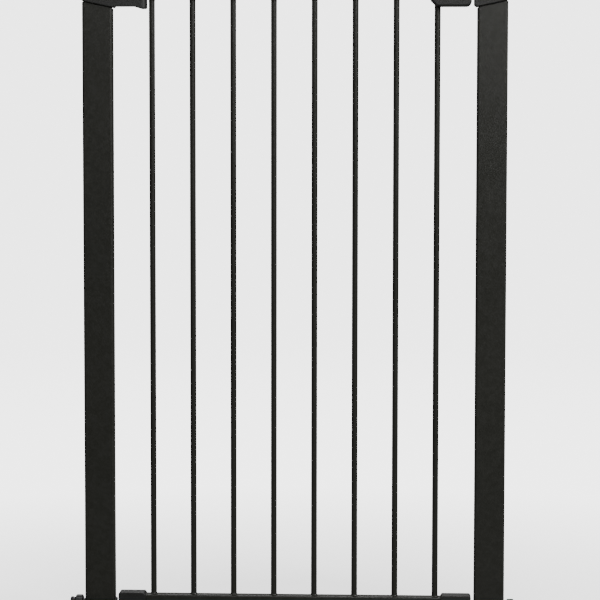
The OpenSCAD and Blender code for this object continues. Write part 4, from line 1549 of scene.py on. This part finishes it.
@dataclass
class Studio:
    """Camera, soft lights and a pale floor that curves up into a backdrop all round.

    Attributes:
        aim: what the camera looks at.
        distance: from the aim to the camera.
        yaw: degrees to the latch side.
        pitch: degrees above level.
        roll: degrees about the line of sight.
        lens: focal length in millimetres.
        sensor: width of the sensor in millimetres.
        floor_r, bend_r, wall_h: radius of the floor, of the bend and height of the wall.
        glow: light of the backdrop, as the camera alone sees it.
        glow_near, glow_start, glow_end: its share beside the gate, and where it rises and is full.
        seen, unseen: the paint's colour to the camera and to the light's own bounces.
        ambient: strength of the sky.
        rows, turns: rows of the floor and of the bend, and columns in a turn.
    """

    aim: tuple[float, float, float] = (0.0097, 0.0, 0.5282)
    distance: float = 3.5
    yaw: float = 2.7
    pitch: float = 3.9
    roll: float = 0.06
    lens: float = 127.8
    sensor: float = 36.0
    floor_r: float = 5.0
    bend_r: float = 3.0
    wall_h: float = 7.0
    glow: float = 3.4
    glow_near: float = 0.45
    glow_start: float = 0.30
    glow_end: float = 1.4
    seen: tuple[float, float, float, float] = (0.80, 0.80, 0.80, 1.0)
    unseen: tuple[float, float, float, float] = (0.22, 0.22, 0.21, 1.0)
    ambient: float = 0.32
    rows: int = 24
    turns: int = 96

    def build(self) -> None:
        """Sets the stage, the lights, the world and the camera."""
        self.backdrop()
        self.world()
        self.lamp("key", (2.9, -2.1, 2.7), (0.1, 0.0, 0.95), (1.5, 1.3), 120.0)
        self.lamp("front", (0.7, -4.3, 2.7), (0.1, 0.0, 1.3), (2.6, 1.5), 62.0)
        self.lamp("fill", (-3.6, -2.4, 2.6), (0.0, 0.0, 0.9), (1.6, 1.6), 16.0)
        self.lamp("back", (-0.6, 3.2, 3.4), (0.0, 0.0, 0.7), (3.0, 1.4), 75.0)
        self.camera()

    def backdrop(self) -> None:
        """A bowl: a flat floor, a quarter circle and a wall, turned about Z."""
        a = np.linspace(0.0, math.pi / 2, self.rows)
        flat = np.linspace(0.001, self.floor_r * 0.98, self.rows)
        radii = np.concatenate([flat, self.floor_r + self.bend_r * np.sin(a)])
        height = np.concatenate([np.zeros(self.rows), self.bend_r * (1 - np.cos(a))])
        rows = np.append(radii, radii[-1])[:, None]
        z = np.append(height, self.wall_h)[:, None]
        angle = (np.arange(self.turns) / self.turns * TAU)[None, :]
        points = np.stack([rows * np.cos(angle), rows * np.sin(angle), z + 0 * angle], axis=-1)
        shell = Shell(points, capped=False)
        mesh = bpy.data.meshes.new("studio_bowl")
        mesh.from_pydata(points.reshape(-1, 3).tolist(), [], shell.faces(0))
        mesh.polygons.foreach_set("use_smooth", np.ones(len(mesh.polygons), dtype=bool))
        bowl = bpy.data.objects.new("studio_bowl", mesh)
        bpy.context.scene.collection.objects.link(bowl)
        mesh.materials.append(self.paint())

    def paint(self) -> bpy.types.Material:
        """Pale paint with a painted glow that the camera alone sees, dimmer beside the gate and an even white
        away from it.

        Returns:
            The material.
        """
        paint = bpy.data.materials.new("studio_white")
        paint.use_nodes = True
        tree = paint.node_tree
        wire = Wiring(tree)
        shader = tree.nodes["Principled BSDF"]
        shader.inputs["Roughness"].default_value = 0.9
        shader.inputs["Specular IOR Level"].default_value = 0.1
        shader.inputs["Emission Color"].default_value = (1.0, 1.0, 1.0, 1.0)
        where = wire.node("ShaderNodeTexCoord")
        far = wire.node("ShaderNodeVectorMath", operation="LENGTH")
        wire.join(where.outputs["Object"], far.inputs[0])
        soft = wire.remap(far.outputs["Value"], self.glow_start, self.glow_end, self.glow_near, 1.0)
        path = wire.node("ShaderNodeLightPath")
        camera = path.outputs["Is Camera Ray"]
        tone = wire.mix(camera, self.unseen, self.seen)
        wire.join(tone, shader.inputs["Base Color"])
        # painted glow: emission for camera rays only, dimmer beside the gate and full away from it
        seen = wire.math("MULTIPLY", soft, camera)
        wire.join(wire.math("MULTIPLY", seen, self.glow), shader.inputs["Emission Strength"])
        return paint

    def world(self) -> None:
        """An even, dim white sky."""
        world = bpy.data.worlds.new("studio_sky")
        world.use_nodes = True
        sky = world.node_tree.nodes["Background"].inputs
        sky["Color"].default_value = (1.0, 1.0, 1.0, 1.0)
        sky["Strength"].default_value = self.ambient
        bpy.context.scene.world = world

    def lamp(self, name: str, at: tuple[float, float, float], to: tuple[float, float, float],
             size: tuple[float, float], power: float) -> None:
        """A rectangular soft light that looks at a point.

        Args:
            name: its name.
            at: where it hangs.
            to: what it looks at.
            size: width and height.
            power: watts.
        """
        data = bpy.data.lights.new(name, "AREA")
        data.shape = "RECTANGLE"
        data.size, data.size_y = size
        data.energy = power
        lamp = bpy.data.objects.new(name, data)
        bpy.context.scene.collection.objects.link(lamp)
        lamp.location = at
        lamp.rotation_euler = (Vector(to) - Vector(at)).to_track_quat("-Z", "Y").to_euler()

    def camera(self) -> None:
        """A long lens, a little above the gate's middle and a little to its latch side."""
        yaw, pitch = math.radians(self.yaw), math.radians(self.pitch)
        away = Vector((math.sin(yaw) * math.cos(pitch), -math.cos(yaw) * math.cos(pitch), math.sin(pitch)))
        data = bpy.data.cameras.new("camera")
        data.lens, data.sensor_width, data.sensor_fit = self.lens, self.sensor, "HORIZONTAL"
        data.clip_end = 100.0
        camera = bpy.data.objects.new("camera", data)
        bpy.context.scene.collection.objects.link(camera)
        camera.location = Vector(self.aim) + away * self.distance
        look = (-away).to_track_quat("-Z", "Y")
        camera.rotation_euler = look.to_euler()
        camera.rotation_euler.rotate_axis("Z", math.radians(self.roll))
        bpy.context.scene.camera = camera


# ---- The whole gate ---------------------------------------------------------------------------------


FINISHES: dict[Slot, Finish] = {
    Slot.STEEL: Finish("powder_coat", (0.0145, 0.0150, 0.0112), (0.0178, 0.0182, 0.0142), (0.05, 0.05, 0.047),
                       roughness=0.36, spread=0.02, grain_scale=620.0, grain_height=0.00016, cells=0.35,
                       specular=0.5, coat=0.12, coat_roughness=0.25, wear=0.25, scuff=0.10),
    Slot.MOULDED: Finish("black_moulding", (0.014, 0.0142, 0.0138), (0.021, 0.0212, 0.0205),
                         (0.06, 0.06, 0.058), roughness=0.46, spread=0.03, grain_scale=1500.0,
                         grain_height=0.0001, cells=0.45, wear=0.22, scuff=0.14,
                         stretch=(60.0, 900.0, 900.0)),
    Slot.GREY: Finish("grey_moulding", (0.070, 0.071, 0.074), (0.092, 0.093, 0.097), (0.16, 0.16, 0.165),
                      roughness=0.44, grain_scale=1500.0, grain_height=0.00009, cells=0.45, wear=0.3,
                      scuff=0.2),
    Slot.RUBBER: Finish("wall_rubber", (0.009, 0.009, 0.009), (0.016, 0.016, 0.0155), (0.05, 0.05, 0.05),
                        roughness=0.82, spread=0.04, grain_scale=1600.0, grain_height=0.00005, cells=0.2,
                        specular=0.3, wear=0.3, scuff=0.1, sheen=0.08),
    Slot.ZINC: Finish("zinc_plate", (0.52, 0.53, 0.54), (0.68, 0.68, 0.66), (0.80, 0.80, 0.78),
                      roughness=0.30, spread=0.08, grain_scale=700.0, grain_height=0.00001, cells=0.5,
                      metallic=1.0, wear=0.3, scuff=0.5, stretch=(1500.0, 1500.0, 1500.0)),
    Slot.NYLON: Finish("natural_nylon", (0.70, 0.69, 0.63), (0.80, 0.79, 0.74), (0.86, 0.85, 0.82),
                       roughness=0.42, grain_scale=1000.0, grain_height=0.00002, wear=0.1, scuff=0.1),
}


def main() -> None:
    """Builds the studio and the gate's assemblies in order."""
    logging.basicConfig(level=logging.INFO, format="%(name)s %(message)s")
    Studio().build()
    Effects.build()
    dress = Dresser(FINISHES)
    FrameLooks(dress).build()
    PivotLooks(dress).build()
    DoorLooks(dress).build()
    LockLooks(dress).build()
    for corner in CORNERS:
        WallFitting(dress, corner).build()


if __name__ == "__main__":
    main()
